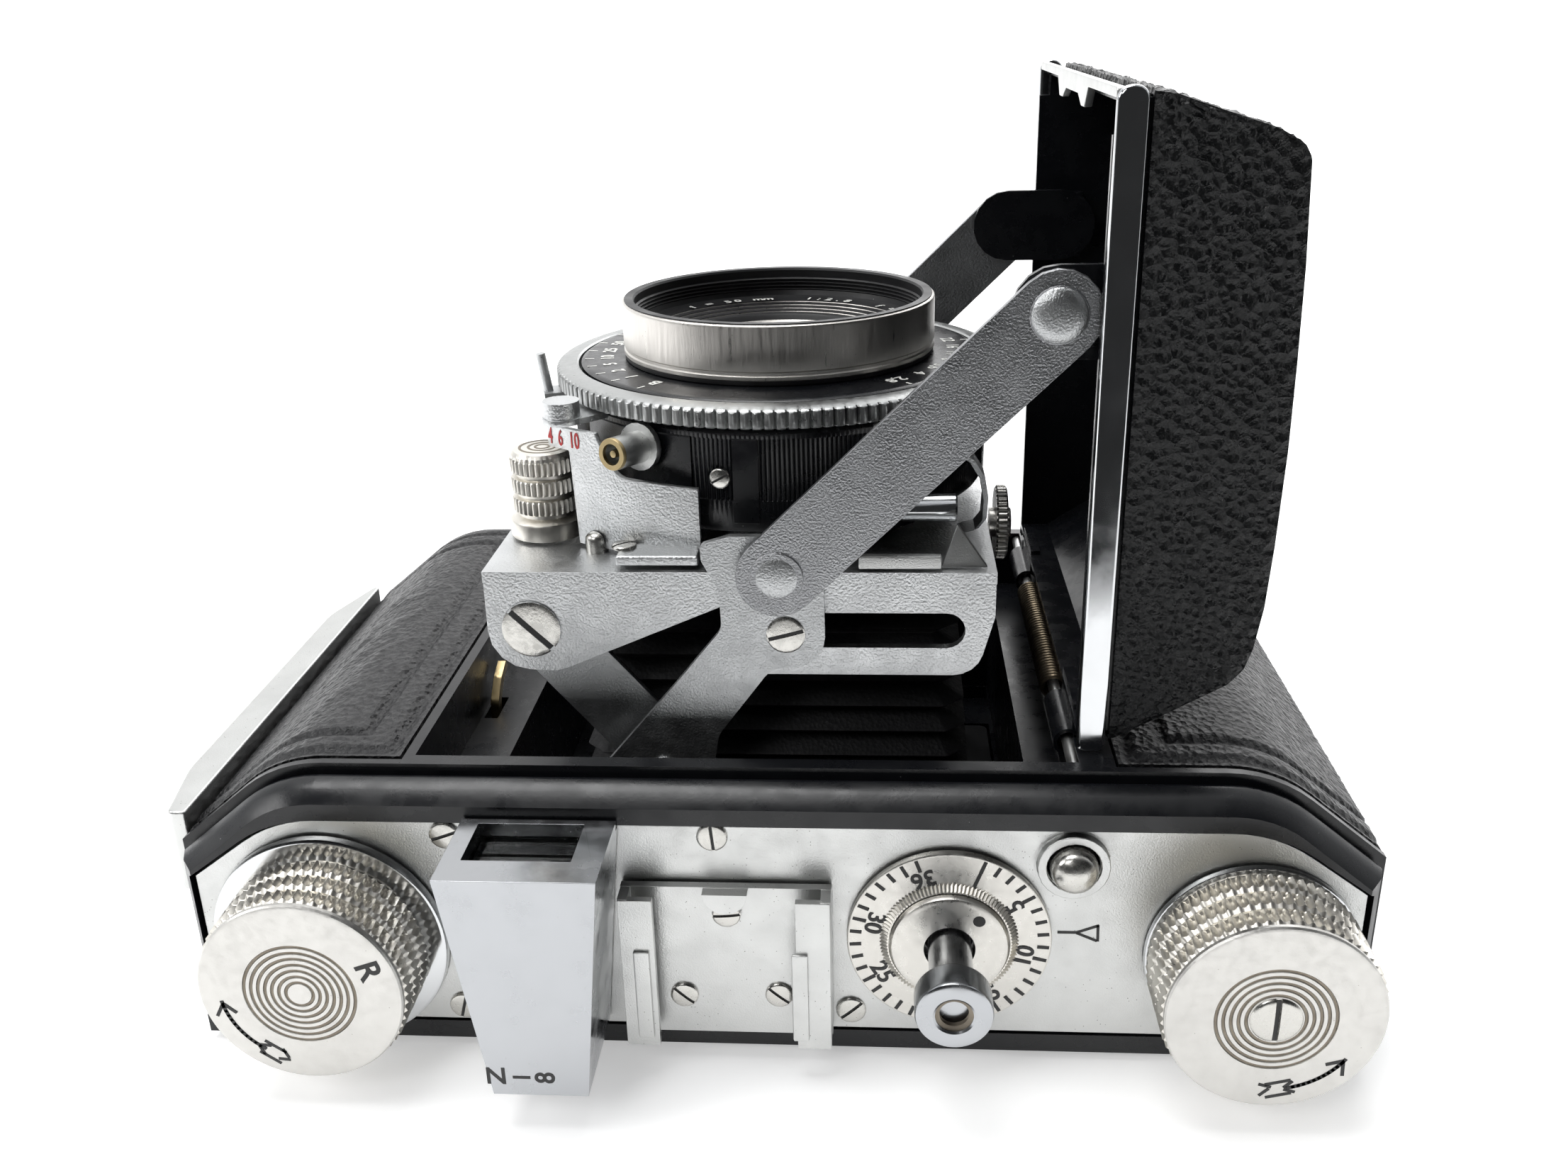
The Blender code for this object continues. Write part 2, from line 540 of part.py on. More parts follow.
def knobs():
    rewind = turned("rewind_knob", knob_profile(9.3, 10.3, 11.95), "satin_chrome", (REWIND_X, -PLATE_OUT, KNOB_Z), "-Y", steps=36)
    fork = rod("rewind_fork", (REWIND_X, -PLATE_OUT + 0.3, KNOB_Z), (REWIND_X, -18.5, KNOB_Z), 2.6, "satin_chrome", 20)
    cut(fork, box("fork_slot", (REWIND_X - 0.9, -21.5, KNOB_Z - 5), (REWIND_X + 0.9, -17, KNOB_Z + 5)))
    pivot("rewind_turn", REWIND_X, -PLATE_OUT, KNOB_Z, rewind, fork)
    wind = turned("wind_knob", knob_profile(9.8, 10.3, 10.35), "satin_chrome", (WIND_X, -PLATE_OUT, KNOB_Z), "-Y", steps=36)
    spool_profile = [(2.6, PLATE_OUT - 0.3), (2.6, 23.4), (9.6, 23.4), (9.6, 22.0), (5.5, 22.0), (5.5, -22.0)]
    spool_profile += [(9.6, -22.0), (9.6, -23.4), (0, -23.4)]
    spool = turned("take_up_spool", [(0, PLATE_OUT - 0.3)] + spool_profile, "blackened_metal",
                   (WIND_X, 0, KNOB_Z), "-Y", steps=28)
    pivot("wind_turn", WIND_X, -PLATE_OUT, KNOB_Z, wind, spool)
    drum = [(0, 22.5), (2, 22.5), (2, 17.6), (SPROCKET_RADIUS, 17.6), (SPROCKET_RADIUS, 14.4), (3.6, 14.4)]
    drum += [(r, -h) for r, h in reversed(drum)]
    roller = turned("sprocket_roller", drum, "blackened_metal", (SPROCKET_X, 0, SPROCKET_Z), "-Y", steps=24)
    pivot("sprocket_turn", SPROCKET_X, 0, SPROCKET_Z, roller)


def counter():
    at = (COUNTER_X, -PLATE_OUT, COUNTER_Z)
    dial = turned("counter_dial", [(2.9, 1.0), (COUNTER_RADIUS - 0.2, 1.0), (COUNTER_RADIUS, 0.8),
                                   (COUNTER_RADIUS, GAP), (2.9, GAP)], "satin_chrome", at, "-Y", ring=True)
    hub = turned("counter_hub", [(2.5, 2.3), (5.2, 2.3), (5.9, 1.6), (5.9, 1.3), (2.5, 1.3)], "satin_chrome",
                 at, "-Y", ring=True)
    pivot("counter_turn", *at, dial, hub)
    stem = [(0, 9.4), (1.7, 9.4), (1.7, 12.2), (3.1, 12.2), (3.6, 11.7), (3.6, 9.2), (3.0, 8.7), (2.1, 8.4)]
    stem += [(2.1, -2.0), (0, -2.0)]
    button = turned("release_button", stem, "bright_chrome", at, "-Y", steps=32)
    pivot("release_press", *at, button)
    dome = [(0, 2.9), (1.2, 2.75), (2.0, 2.2), (2.3, 1.4), (2.3, -2.0), (0, -2.0)]
    unlock_at = (UNLOCK_X, -PLATE_OUT, UNLOCK_Z)
    unlock = turned("film_release_button", dome, "bright_chrome", unlock_at, "-Y", steps=24)
    pivot("film_release_press", *unlock_at, unlock)


# ---------------------------------------------------------------- door


def door_outline(inset, rim):
    """Section of the dished door in the XZ plane, drawn in by an inset."""
    low, high, deep = DOOR_FOOT + 1.2 + inset, DOOR_TOP - 0.4 - inset, DOOR_OUTER - inset
    return rounded([(rim, low, 0), (33.6, low, 0), (deep - 1.6, low + 6.9, 4.5), (deep, 62, 30),
                    (deep - 1.0, high - 5.0, 1.6), (33.8, high, 0.8), (rim, high, 0)])


def door():
    shell = plate("door_shell", [door_outline(DOOR_INSET, DOOR_RIM)], "XZ", -29.4, 29.4, "black_paint")
    cut(shell, plate("door_hollow", [door_outline(DOOR_INSET + DOOR_WALL, DOOR_RIM - 3)], "XZ", -28.7, 28.7))
    for side in (NEAR, FAR):
        low, high = layer(side, (26.0, 17.0))
        knuckle = rod("door_knuckle", (DOOR_AXIS[0], low, DOOR_AXIS[1]), (DOOR_AXIS[0], high, DOOR_AXIS[1]), KNUCKLE)
        tab = box("door_tab", (DOOR_RIM + 0.15, low + 0.1, DOOR_AXIS[1]), (DOOR_RIM + 1.3, high - 0.1, 34.6))
        fuse(shell, tab, knuckle)
        cut(shell, rod("door_knuckle_bore", (DOOR_AXIS[0], low - 1, DOOR_AXIS[1]),
                       (DOOR_AXIS[0], high + 1, DOOR_AXIS[1]), 1.1))
    hide = plate("door_leather", [door_outline(0, 33.2)], "XZ", -30.2, 30.2, "leather")
    cut(hide, plate("leather_hollow", [door_outline(DOOR_HIDE, 20)], "XZ", -29.55, 29.55))
    pieces = [shell, hide]
    strip = rounded([(DOOR_RIM, DOOR_FOOT, 0.9), (DOOR_RIM + 2.75, DOOR_FOOT, 0.9),
                     (DOOR_RIM + 2.75, DOOR_TOP, 1.2), (DOOR_RIM, DOOR_TOP, 1.2)], 4)
    for name, side in SIDES:
        pieces.append(plate("door_strip_" + name, [strip], "XZ", *layer(side, (DOOR_OUT, 29.55)), "bright_chrome"))
        eye = capsule(STRUT_HIGH, (DOOR_RIM + 3, STRUT_HIGH[1]), 4.2)
        bracket = plate("door_bracket_" + name, [eye], "XZ", *layer(side, (ARM_LAYER[0], ARM_LAYER[1])),
                        "black_paint")
        foot = box("bracket_foot", (DOOR_RIM + 1.2, min(side * 28.4, side * 26.6), STRUT_HIGH[1] - 3.9),
                   (DOOR_RIM + 5.5, max(side * 28.4, side * 26.6), STRUT_HIGH[1] + 3.9))
        fuse(bracket, foot)
        pieces.append(bracket)
    cut(shell, box("catch_seat", (DOOR_RIM - 1, -31, 89), (DOOR_RIM + 1.2, 31, 94)))
    edge = rounded([(-29.2, 92.8, 0.3), (-29.2, 91.9, 0), (-12.0, 91.9, 0), (-9.9, 90.0, 0.3), (-7.6, 90.0, 0.3),
                    (-5.0, 91.0, 1.5), (5.0, 91.0, 1.5), (7.6, 90.0, 0.3), (9.9, 90.0, 0.3), (12.0, 91.9, 0),
                    (29.2, 91.9, 0), (29.2, 92.8, 0.3)], 2)
    catch = plate("door_catch", [edge], "YZ", DOOR_RIM + 0.1, DOOR_RIM + 0.9, "bright_chrome")
    pieces.append(catch)
    pivot("door_hinge", DOOR_AXIS[0], 0, DOOR_AXIS[1], *pieces)
    x, z = DOOR_AXIS
    rod("door_hinge_rod", (x, -33.3, z), (x, 33.3, z), 0.65, "satin_chrome", 16)
    tube("door_spring", (x, -14, z), (x, 14, z), 1.6, 1.1, "brass")
    hook = plate("door_latch_hook", [rounded([(-7.9, 22.8, 0.2), (-6.7, 22.8, 0.2), (-6.5, 24.6, 1.2), (-4.6, 26.4, 1.2),
                                              (-2.4, 27.3, 0.2), (-2.9, 28.2, 0.2), (-5.4, 27.2, 1.2),
                                              (-7.7, 25.0, 1.2)], 3)], "YZ", -34.4, -33.4, "brass")
    at = (RELEASE_X, PLATE_OUT, RELEASE_Z)
    button = turned("door_release_button", [(0, 3.0), (2.2, 3.0), (2.9, 2.4), (2.9, -1.2), (0, -1.2)],
                    "bright_chrome", at, "+Y", steps=24)
    pivot("door_release_press", *at, hook, button)


# ---------------------------------------------------------------- linkage


def struts():
    pieces = []
    for name, side in SIDES:
        body = plate("strut_" + name, [capsule(STRUT_LOW, STRUT_HIGH, 4.0)], "XZ", *layer(side, STRUT_LAYER),
                     "satin_chrome")
        for x, z in (STRUT_LOW, STRUT_HIGH):
            fuse(body, rod("strut_rivet", (x, side * (STRUT_LAYER[0] + 0.2), z), (x, side * (STRUT_LAYER[1] + 0.2), z),
                           2.6, steps=20))
        pieces.append(body)
    pivot("strut_joint", STRUT_HIGH[0], 0, STRUT_HIGH[1], *pieces)


def slot_arm_outline():
    """Bar from the foot pivot, with a lobe at the centre pin, and a head that holds the strut and the slot pin."""
    along = turn(ARM_OPEN, 1)
    out = Vector((-along.y, along.x))
    foot = Vector(ARM_FOOT)

    def spot(distance, offset, radius):
        point = foot + along * distance + out * offset
        return (point.x, point.y, radius)

    return [
        spot(-3.6, -3.0, 2.6), spot(14.0, -2.6, 3), spot(17.5, -4.2, 3), spot(22.5, -4.2, 3), spot(26.5, -1.8, 3),
        (0.4, 39.0, 2.5), (5.8, 39.4, 3.2), (5.6, 52.9, 3.6), (-3.3, 52.9, 0.5), (-6.2, 52.0, 0.6),
        (-6.1, 50.4, 0.6), (-4.5, 47.2, 2.0), (-4.4, 43.2, 2.0), spot(28.0, 5.0, 3), spot(-3.6, 5.0, 3.6),
    ]


def arms():
    slot_arms, cross_arms = [], []
    for name, side in SIDES:
        arm = plate("slot_arm_" + name, [rounded(slot_arm_outline(), 4)], "XZ", *layer(side, ARM_LAYER),
                    "satin_chrome")
        cut(arm, rod("foot_hole", (ARM_FOOT[0], -40, ARM_FOOT[1]), (ARM_FOOT[0], 40, ARM_FOOT[1]), 1.8),
            )
        centre_pin = rod("centre_pin", (CENTRE_PIN.x, side * 27.5, CENTRE_PIN.y),
                         (CENTRE_PIN.x, side * 24.2, CENTRE_PIN.y), 1.45, steps=20)
        slot_pin = rod("slot_pin", (SLOT_PIN.x, side * 26.9, SLOT_PIN.y), (SLOT_PIN.x, side * 25.1, SLOT_PIN.y), 1.5)
        fuse(arm, slot_pin, centre_pin)
        slot_arms.append(arm)
        bar = plate("cross_arm_" + name, [capsule(STANDARD_PIN, RAIL_PIN, 3.6)], "XZ", *layer(side, CROSS_LAYER),
                    "satin_chrome")
        cut(bar, rod("pin_hole", (CENTRE_PIN.x, -40, CENTRE_PIN.y), (CENTRE_PIN.x, 40, CENTRE_PIN.y), 1.75),
            rod("pin_hole", (STANDARD_PIN.x, -40, STANDARD_PIN.y), (STANDARD_PIN.x, 40, STANDARD_PIN.y), 1.75))
        fuse(bar, rod("rail_pin", (RAIL_PIN.x, side * 24.6, RAIL_PIN.y), (RAIL_PIN.x, side * 23.0, RAIL_PIN.y), 1.45))
        cross_arms.append(bar)
    pivot("slot_arm_hinge", ARM_FOOT[0], 0, ARM_FOOT[1], *slot_arms)
    pivot("cross_arm_hinge", CENTRE_PIN.x, 0, CENTRE_PIN.y, *cross_arms)


# ---------------------------------------------------------------- lens standard


def side_plate_outline():
    """Side cheek: round lobe at the pivot screw, tapered notch for the centre pin, deep part with the slot."""
    x, z = STANDARD_PIN
    top = STANDARD_TOP - 0.6
    return rounded([
        (x - 4.4, top, 0), (x - 4.5, z - 4.3, 4.2), (x + 2.5, z - 4.6, 4.0), (-4.2, z + 2.6, 1.0),
        (-1.7, z + 2.6, 0.8), (-1.7, z - 4.8, 1.0), (20.6, z - 4.8, 3.0), (22.3, z + 1.5, 2.0), (22.3, top, 0),
    ], 4)


def standard():
    left, right = STANDARD_PIN.x - 4.45, 22.35
    low = STANDARD_TOP - STANDARD_SHEET
    outline = [Vector(p) for p in ((left, -26.25), (right, -26.25), (right, 26.25), (left, 26.25))]
    top = plate("lens_standard", [outline, circle((0, 0), 14.3, 40)], "XY", low, STANDARD_TOP, "satin_chrome")
    slot = capsule((1.7, STANDARD_PIN.y), (17.6, STANDARD_PIN.y), 1.85)
    for name, side in SIDES:
        fuse(top, plate("side_plate_" + name, [side_plate_outline(), slot], "XZ", *layer(side, SIDE_LAYER)))
        x, z = STANDARD_PIN
        fuse(top, rod("pivot_screw_" + name, (x, side * 26.3, z), (x, side * 24.2, z), 1.45, steps=20),
             rod("pivot_head_" + name, (x, side * 26.4, z), (x, side * 25.6, z), 3.0, steps=20))
    scale = distance_scale()
    front, rear = 46.9, 8.5
    rings = [[(x, y, z) for x, y in ((-hx, -hy), (hx, -hy), (hx, hy), (-hx, hy))]
             for hx, hy, z in ((19.0, 21.8, front), (22.0, 22.2, rear))]
    hollow = [[(x, y, z) for x, y in ((-hx, -hy), (hx, -hy), (hx, hy), (-hx, hy))]
              for hx, hy, z in ((17.0, 18.0, front + 1), (19.6, 18.6, rear - 1))]
    folds = loft("bellows", rings, "bellows_leather")
    cut(folds, loft("bellows_hollow", hollow))
    pivot("standard_hinge", STANDARD_PIN.x, 0, STANDARD_PIN.y, top, scale)
    knob_at = (-23.6, -15.15, STANDARD_TOP)
    profile = [(0, 9.5), (2.4, 9.5), (3.2, 9.2), (3.5, 8.6)]
    for top in (8.4, 6.2, 4.0):
        profile += [(3.5, top), (3.5, top - 1.4), (3.0, top - 1.6), (3.0, top - 2.1)]
    profile += [(3.8, 1.8), (3.9, 1.6), (3.9, GAP), (0, GAP)]
    pivot("focus_turn", *knob_at, turned("focus_knob", profile, "satin_chrome", knob_at, steps=28))
    wheel_at = (24.0, -8.0, 47.5)
    wheel = rod("setting_wheel", (23.4, *wheel_at[1:]), (24.7, *wheel_at[1:]), 4.0, "satin_chrome", 28)
    fuse(wheel, rod("wheel_boss", (22.7, *wheel_at[1:]), (25.1, *wheel_at[1:]), 1.6, steps=20))
    pivot("setting_turn", *wheel_at, wheel)


def sector(low, high, inner, outer, steps=10, centre=(0, 0)):
    return arc(centre, outer, low, high, steps) + list(reversed(arc(centre, inner, low, high, steps)))


def distance_scale():
    """Curved plate beside the shutter: tall at its left end, where it clears the focusing knob below."""
    low, bow = STANDARD_TOP + GAP, (-3.9, 5.6)
    body = plate("distance_scale", [sector(237, 264.8, 28.6, 29.2, 12, bow)], "XY", low, 56.4, "satin_chrome")
    tall = plate("scale_tall", [sector(237.1, 247, 28.61, 29.19, 6, bow)], "XY", low + 0.1, 61.2)
    wing = plate("scale_wing", [sector(230.4, 238, 28.62, 29.18, 5, bow)], "XY", 58.9, 61.1)
    foot = rounded([(-14.8, -25.6, 0.8), (-6.6, -25.6, 0.8), (-6.6, -23.1, 0), (-14.6, -20.7, 0)], 3)
    return fuse(body, tall, wing, plate("scale_foot", [foot], "XY", low + 0.05, 50.2))


# ---------------------------------------------------------------- shutter and lens


def shutter():
    case = turned("shutter_housing", [
        (12.6, 62.2), (21.4, 62.2), (SHUTTER_RADIUS, 61.6), (SHUTTER_RADIUS, 52.0), (21.2, 51.0), (19.5, 50.8),
        (19.5, 49.2), (13.9, 49.2), (13.9, 46.2), (12.6, 46.2)], "black_paint", ring=True, steps=48)
    face = turned("shutter_face", [(14.6, 64.8), (21.6, 64.6), (21.6, 62.5), (14.6, 62.5)], "black_paint",
                  ring=True, steps=48)
    ring = turned("speed_ring", [(21.9, 64.5), (23.6, 64.4), (RING_RADIUS, 63.9), (RING_RADIUS, 62.5), (21.9, 62.5)],
                  "satin_chrome", ring=True, steps=56)
    barrel = turned("lens_barrel", [
        (15.9, LENS_TOP), (16.7, LENS_TOP), (LENS_RADIUS, LENS_TOP - 0.3), (LENS_RADIUS, 65.3), (14.2, 65.3),
        (14.2, 62.5), (12.2, 62.5), (12.2, 57.0), (10.6, 57.0), (10.6, 65.6), (11.4, 66.4), (15.0, 67.6),
        (15.6, 67.9)], "bright_chrome", ring=True, steps=48)
    front = turned("front_element", [(0, 67.2), (4, 66.9), (8, 66.0), (10.3, 65.1), (10.3, 62.8), (0, 62.8)],
                   "glass", steps=32)
    cell = turned("rear_cell", [(9.4, 55.6), (12.2, 55.6), (12.2, 44.6), (10.2, 44.6), (9.4, 45.4)],
                  "blackened_metal", ring=True, steps=32)
    rear = turned("rear_element", [(0, 49.6), (9.1, 49.6), (9.1, 46.8), (5, 46.0), (0, 45.7)], "glass", steps=32)
    socket_foot, socket_tip = Vector((-12.28, -19.6, 59.7)), Vector((-14.65, -23.67, 60.0))
    along = (socket_tip - socket_foot).normalized()
    socket = rod("sync_socket", socket_foot, socket_tip, 1.6, "satin_chrome", 20)
    fuse(socket, rod("socket_flange", socket_foot + along * 0.2, socket_foot + along * 0.9, 2.4, steps=20))
    cut(socket, rod("socket_bore", socket_foot + along * 2.5, socket_tip + along, 1.1, steps=16))
    pieces = [case, face, barrel, front, cell, rear, socket]
    pivot("focus_slide", 0, 0, 50, *pieces)
    pivot("speed_turn", 0, 0, 63, ring)
    levers()


def polar(angle, radius, z):
    spot = turn(math.radians(angle), radius)
    return (spot.x, spot.y, z)


def levers():
    cock = plate("cocking_lever", [sector(191, 199, 23.0, 25.9, 4)], "XY", 61.6, 62.1, "blackened_metal")
    fuse(cock, rod("cocking_finger", polar(196.2, 25.3, 61.8), polar(196.4, 25.9, 66.2), 0.5, steps=12))
    pivot("cocking_swing", 0, 0, 61.9, cock)
    post = (-20.6, -18.0)
    release = plate("release_lever", [sector(213, 225, 23.0, 26.4, 4)], "XY", 61.6, 62.2, "satin_chrome")
    fuse(release, rod("release_pad", (*post, 61.65), (*post, 62.25), 2.0, steps=20),
         rod("release_cap", (*post, 62.0), (*post, 63.9), 1.85, steps=20))
    pivot("release_swing", 0, 0, 62, release)


body_casting()
leathers()
end_plates()
film_gate()
shoe()
finder()
back()
knobs()
counter()
door()
struts()
arms()
standard()
shutter()
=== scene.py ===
"""The folding camera on a pale floor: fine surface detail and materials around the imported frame."""

import json
import math

import bmesh
import bpy
import numpy as np
from mathutils import Matrix, Vector, noise


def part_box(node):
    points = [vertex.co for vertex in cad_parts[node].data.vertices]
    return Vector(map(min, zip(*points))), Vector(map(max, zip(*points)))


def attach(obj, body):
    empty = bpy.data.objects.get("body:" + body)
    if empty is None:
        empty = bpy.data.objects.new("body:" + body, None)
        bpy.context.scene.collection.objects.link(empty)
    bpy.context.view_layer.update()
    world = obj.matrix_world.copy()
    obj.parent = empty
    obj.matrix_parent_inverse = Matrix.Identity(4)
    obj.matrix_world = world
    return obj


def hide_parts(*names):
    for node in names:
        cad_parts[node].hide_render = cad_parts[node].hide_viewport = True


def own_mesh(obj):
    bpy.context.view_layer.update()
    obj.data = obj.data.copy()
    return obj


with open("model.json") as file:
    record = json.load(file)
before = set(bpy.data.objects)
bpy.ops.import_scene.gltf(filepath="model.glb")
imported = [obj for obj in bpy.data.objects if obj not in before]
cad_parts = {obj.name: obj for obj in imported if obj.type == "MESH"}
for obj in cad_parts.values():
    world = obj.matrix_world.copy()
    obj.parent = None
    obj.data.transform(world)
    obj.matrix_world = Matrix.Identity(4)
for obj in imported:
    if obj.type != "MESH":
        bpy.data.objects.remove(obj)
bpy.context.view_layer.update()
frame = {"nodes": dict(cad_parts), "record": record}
MM = 0.001
BODY_OF = {node: body for body, nodes in frame["record"]["behaviour"]["bodies"].items() for node in nodes}
SLOT_OF = {row["node"]: row["material_slot"] for row in frame["record"]["subparts"]}

# Places and sizes in millimetres, in the frame's own axes.
PLATE_Y = -37.0  # outer face of the top plate
REWIND_AXIS, WIND_AXIS, COUNTER_AXIS = (-44.1, PLATE_Y, 13.35), (47.1, PLATE_Y, 13.35), (17.9, PLATE_Y, 14.8)
ARM_PIN, STRUT_PIN, DOOR_RIVET = (-10.83, 27.42, 27.53), (1.22, 28.42, 49.07), (26.73, 28.6, 73.93)
STANDARD_PIVOT, SLOT_PIVOT = (-23.58, 26.32, 42.68), (1.91, 27.3, 42.68)
MARK_DEPTH = 0.015  # half the thickness of painted marks
SLOT = 0.22  # width of a screw's slot, over the screw's radius
ON_AXIS = 0.001  # a turned profile's end closer to its axis than this needs no cap
FLAT_DEGREES = 0.6  # faces that meet at less than this are one flat face
MOST_WEIGHTED_FACES = 20000  # larger meshes keep plain smooth normals
LAST_FRAME = 36  # of a full film
SIDES = ((-1, "-Y"), (1, "+Y"))
ON_BODY, ON_STANDARD = ("camera_body", "satin_chrome"), ("standard", "satin_chrome")
ON_SHUTTER, ON_LENS = ("lens_unit", "black_casting"), ("lens_unit", "black_alloy")
CAMERA_AT = (11.02, -152.65, 99.14)
CAMERA_TURN = (0.389, -0.073, 0.025)  # pitch, yaw and roll in radians
CAMERA_LENS = 32.3186  # for a sensor 36 mm wide

# ---------------------------------------------------------------- node materials


class Look:
    """A Principled material with its pattern coordinates in millimetres."""

    def __init__(self, name, base, metallic, roughness, **sockets):
        self.material = bpy.data.materials.new(name)
        self.material.use_nodes = True
        self.tree = self.material.node_tree
        self.shader = self.tree.nodes["Principled BSDF"]
        self.base = (*base, 1)
        self.shader.inputs["Base Color"].default_value = self.base
        self.shader.inputs["Metallic"].default_value = metallic
        self.shader.inputs["Roughness"].default_value = roughness
        for socket, value in sockets.items():
            self.shader.inputs[socket.replace("_", " ")].default_value = value
        self.coords = self.add("ShaderNodeTexCoord").outputs["Object"]
        self.height = None

    def add(self, kind, **settings):
        node = self.tree.nodes.new(kind)
        for key, value in settings.items():
            setattr(node, key, value)
        return node

    def link(self, source, target):
        self.tree.links.new(source, target)

    def stretched(self, x, y, z):
        scale = self.add("ShaderNodeVectorMath", operation="MULTIPLY")
        self.link(self.coords, scale.inputs[0])
        scale.inputs[1].default_value = (1000 * x, 1000 * y, 1000 * z)
        return scale.outputs[0]

    def noise(self, size, detail=3.0, squeeze=(1, 1, 1)):
        """Noise whose grains are about size millimetres."""
        node = self.add("ShaderNodeTexNoise")
        self.link(self.stretched(*squeeze), node.inputs["Vector"])
        node.inputs["Scale"].default_value = 1 / size
        node.inputs["Detail"].default_value = detail
        node.inputs["Roughness"].default_value = 0.55
        return node.outputs["Fac"]

    def cells(self, size, squeeze=(1, 1, 1)):
        node = self.add("ShaderNodeTexVoronoi")
        self.link(self.stretched(*squeeze), node.inputs["Vector"])
        node.inputs["Scale"].default_value = 1 / size
        return node.outputs["Distance"]

    def ramp(self, source, low, high, first=0.0, last=1.0):
        node = self.add("ShaderNodeMapRange")
        self.link(source, node.inputs["Value"])
        for name, value in (("From Min", low), ("From Max", high), ("To Min", first), ("To Max", last)):
            node.inputs[name].default_value = value
        return node.outputs["Result"]

    def maths(self, operation, first, second):
        node = self.add("ShaderNodeMath", operation=operation)
        for socket, value in zip(node.inputs, (first, second)):
            if isinstance(value, (int, float)):
                socket.default_value = value
            else:
                self.link(value, socket)
        return node.outputs[0]

    def tint(self, factor, colour):
        """Mixes a colour over what the base colour is so far."""
        node = self.add("ShaderNodeMix", data_type="RGBA")
        self.link(factor, node.inputs["Factor"])
        base = self.shader.inputs["Base Color"]
        if base.is_linked:
            self.link(base.links[0].from_socket, node.inputs["A"])
        else:
            node.inputs["A"].default_value = self.base
        node.inputs["B"].default_value = (*colour, 1)
        self.link(node.outputs["Result"], base)
        return self

    def rough(self, source, low, high):
        """Roughness between two values, over a 0 to 1 pattern."""
        self.link(self.ramp(source, 0.3, 0.7, low, high), self.shader.inputs["Roughness"])
        return self

    def bump(self, source, depth):
        """Bump of a depth in millimetres; further calls stack."""
        node = self.add("ShaderNodeBump")
        node.inputs["Distance"].default_value = depth * MM
        self.link(source, node.inputs["Height"])
        if self.height:
            self.link(self.height, node.inputs["Normal"])
        self.height = node.outputs["Normal"]
        self.link(self.height, self.shader.inputs["Normal"])
        return self

    def specks(self, size, share, colour):
        """Sparse dots: dust, pits or paint chips."""
        dot = self.ramp(self.cells(size), share, share * 0.6)
        sparse = self.ramp(self.noise(size * 4, 2), 0.5, 0.56)
        return self.tint(self.maths("MULTIPLY", dot, sparse), colour)


def frosted(name, base, roughness, grain=0.16, depth=0.02, dark=(0.25, 0.25, 0.24)):
    look = Look(name, base, 1.0, roughness)
    look.rough(look.noise(2.5, 4), roughness - 0.05, roughness + 0.08)
    look.bump(look.noise(grain, 2), depth)
    look.specks(0.5, 0.12, dark)
    look.tint(look.ramp(look.noise(7, 4), 0.45, 0.75, 0, 0.35), tuple(c * 0.72 for c in base))
    return look


def polished(name, base, roughness=0.09):
    look = Look(name, base, 1.0, roughness)
    look.rough(look.noise(4, 5), roughness * 0.6, roughness * 2.2)
    look.bump(look.noise(9, 2), 0.012)
    look.specks(0.9, 0.06, (0.3, 0.29, 0.27))
    return look


def enamel(name, roughness=0.24, base=(0.005, 0.0055, 0.007)):
    look = Look(name, base, 0.0, roughness, Specular_IOR_Level=0.42)
    look.rough(look.noise(3, 5), roughness - 0.06, roughness + 0.12)
    look.bump(look.noise(0.35, 3), 0.008)
    look.specks(2.2, 0.03, (0.2, 0.2, 0.2))
    return look


def hide(name, roughness, grain, depth, base=(0.011, 0.011, 0.012)):
    look = Look(name, base, 0.0, roughness, Specular_IOR_Level=0.36)
    look.rough(look.noise(1.2, 4), roughness - 0.08, roughness + 0.12)
    look.bump(look.cells(grain, squeeze=(1, 0.8, 1)), depth)
    look.bump(look.noise(grain * 0.35, 3), depth * 0.4)
    look.tint(look.ramp(look.noise(9, 5), 0.45, 0.8, 0, 0.5), tuple(c * 1.7 for c in base))
    look.specks(1.1, 0.035, (0.2, 0.19, 0.17))
    return look


def brushed(name, base, roughness, depth=0.012, squeeze=(1, 1, 1)):
    look = Look(name, base, 1.0, roughness)
    look.rough(look.noise(1.0, 4, squeeze=squeeze), roughness - 0.07, roughness + 0.1)
    look.bump(look.noise(0.3, 3, squeeze=squeeze), depth)
    look.tint(look.ramp(look.noise(6, 4), 0.5, 0.8, 0, 0.3), tuple(c * 0.7 for c in base))
    look.specks(0.8, 0.07, (0.3, 0.28, 0.25))
    return look


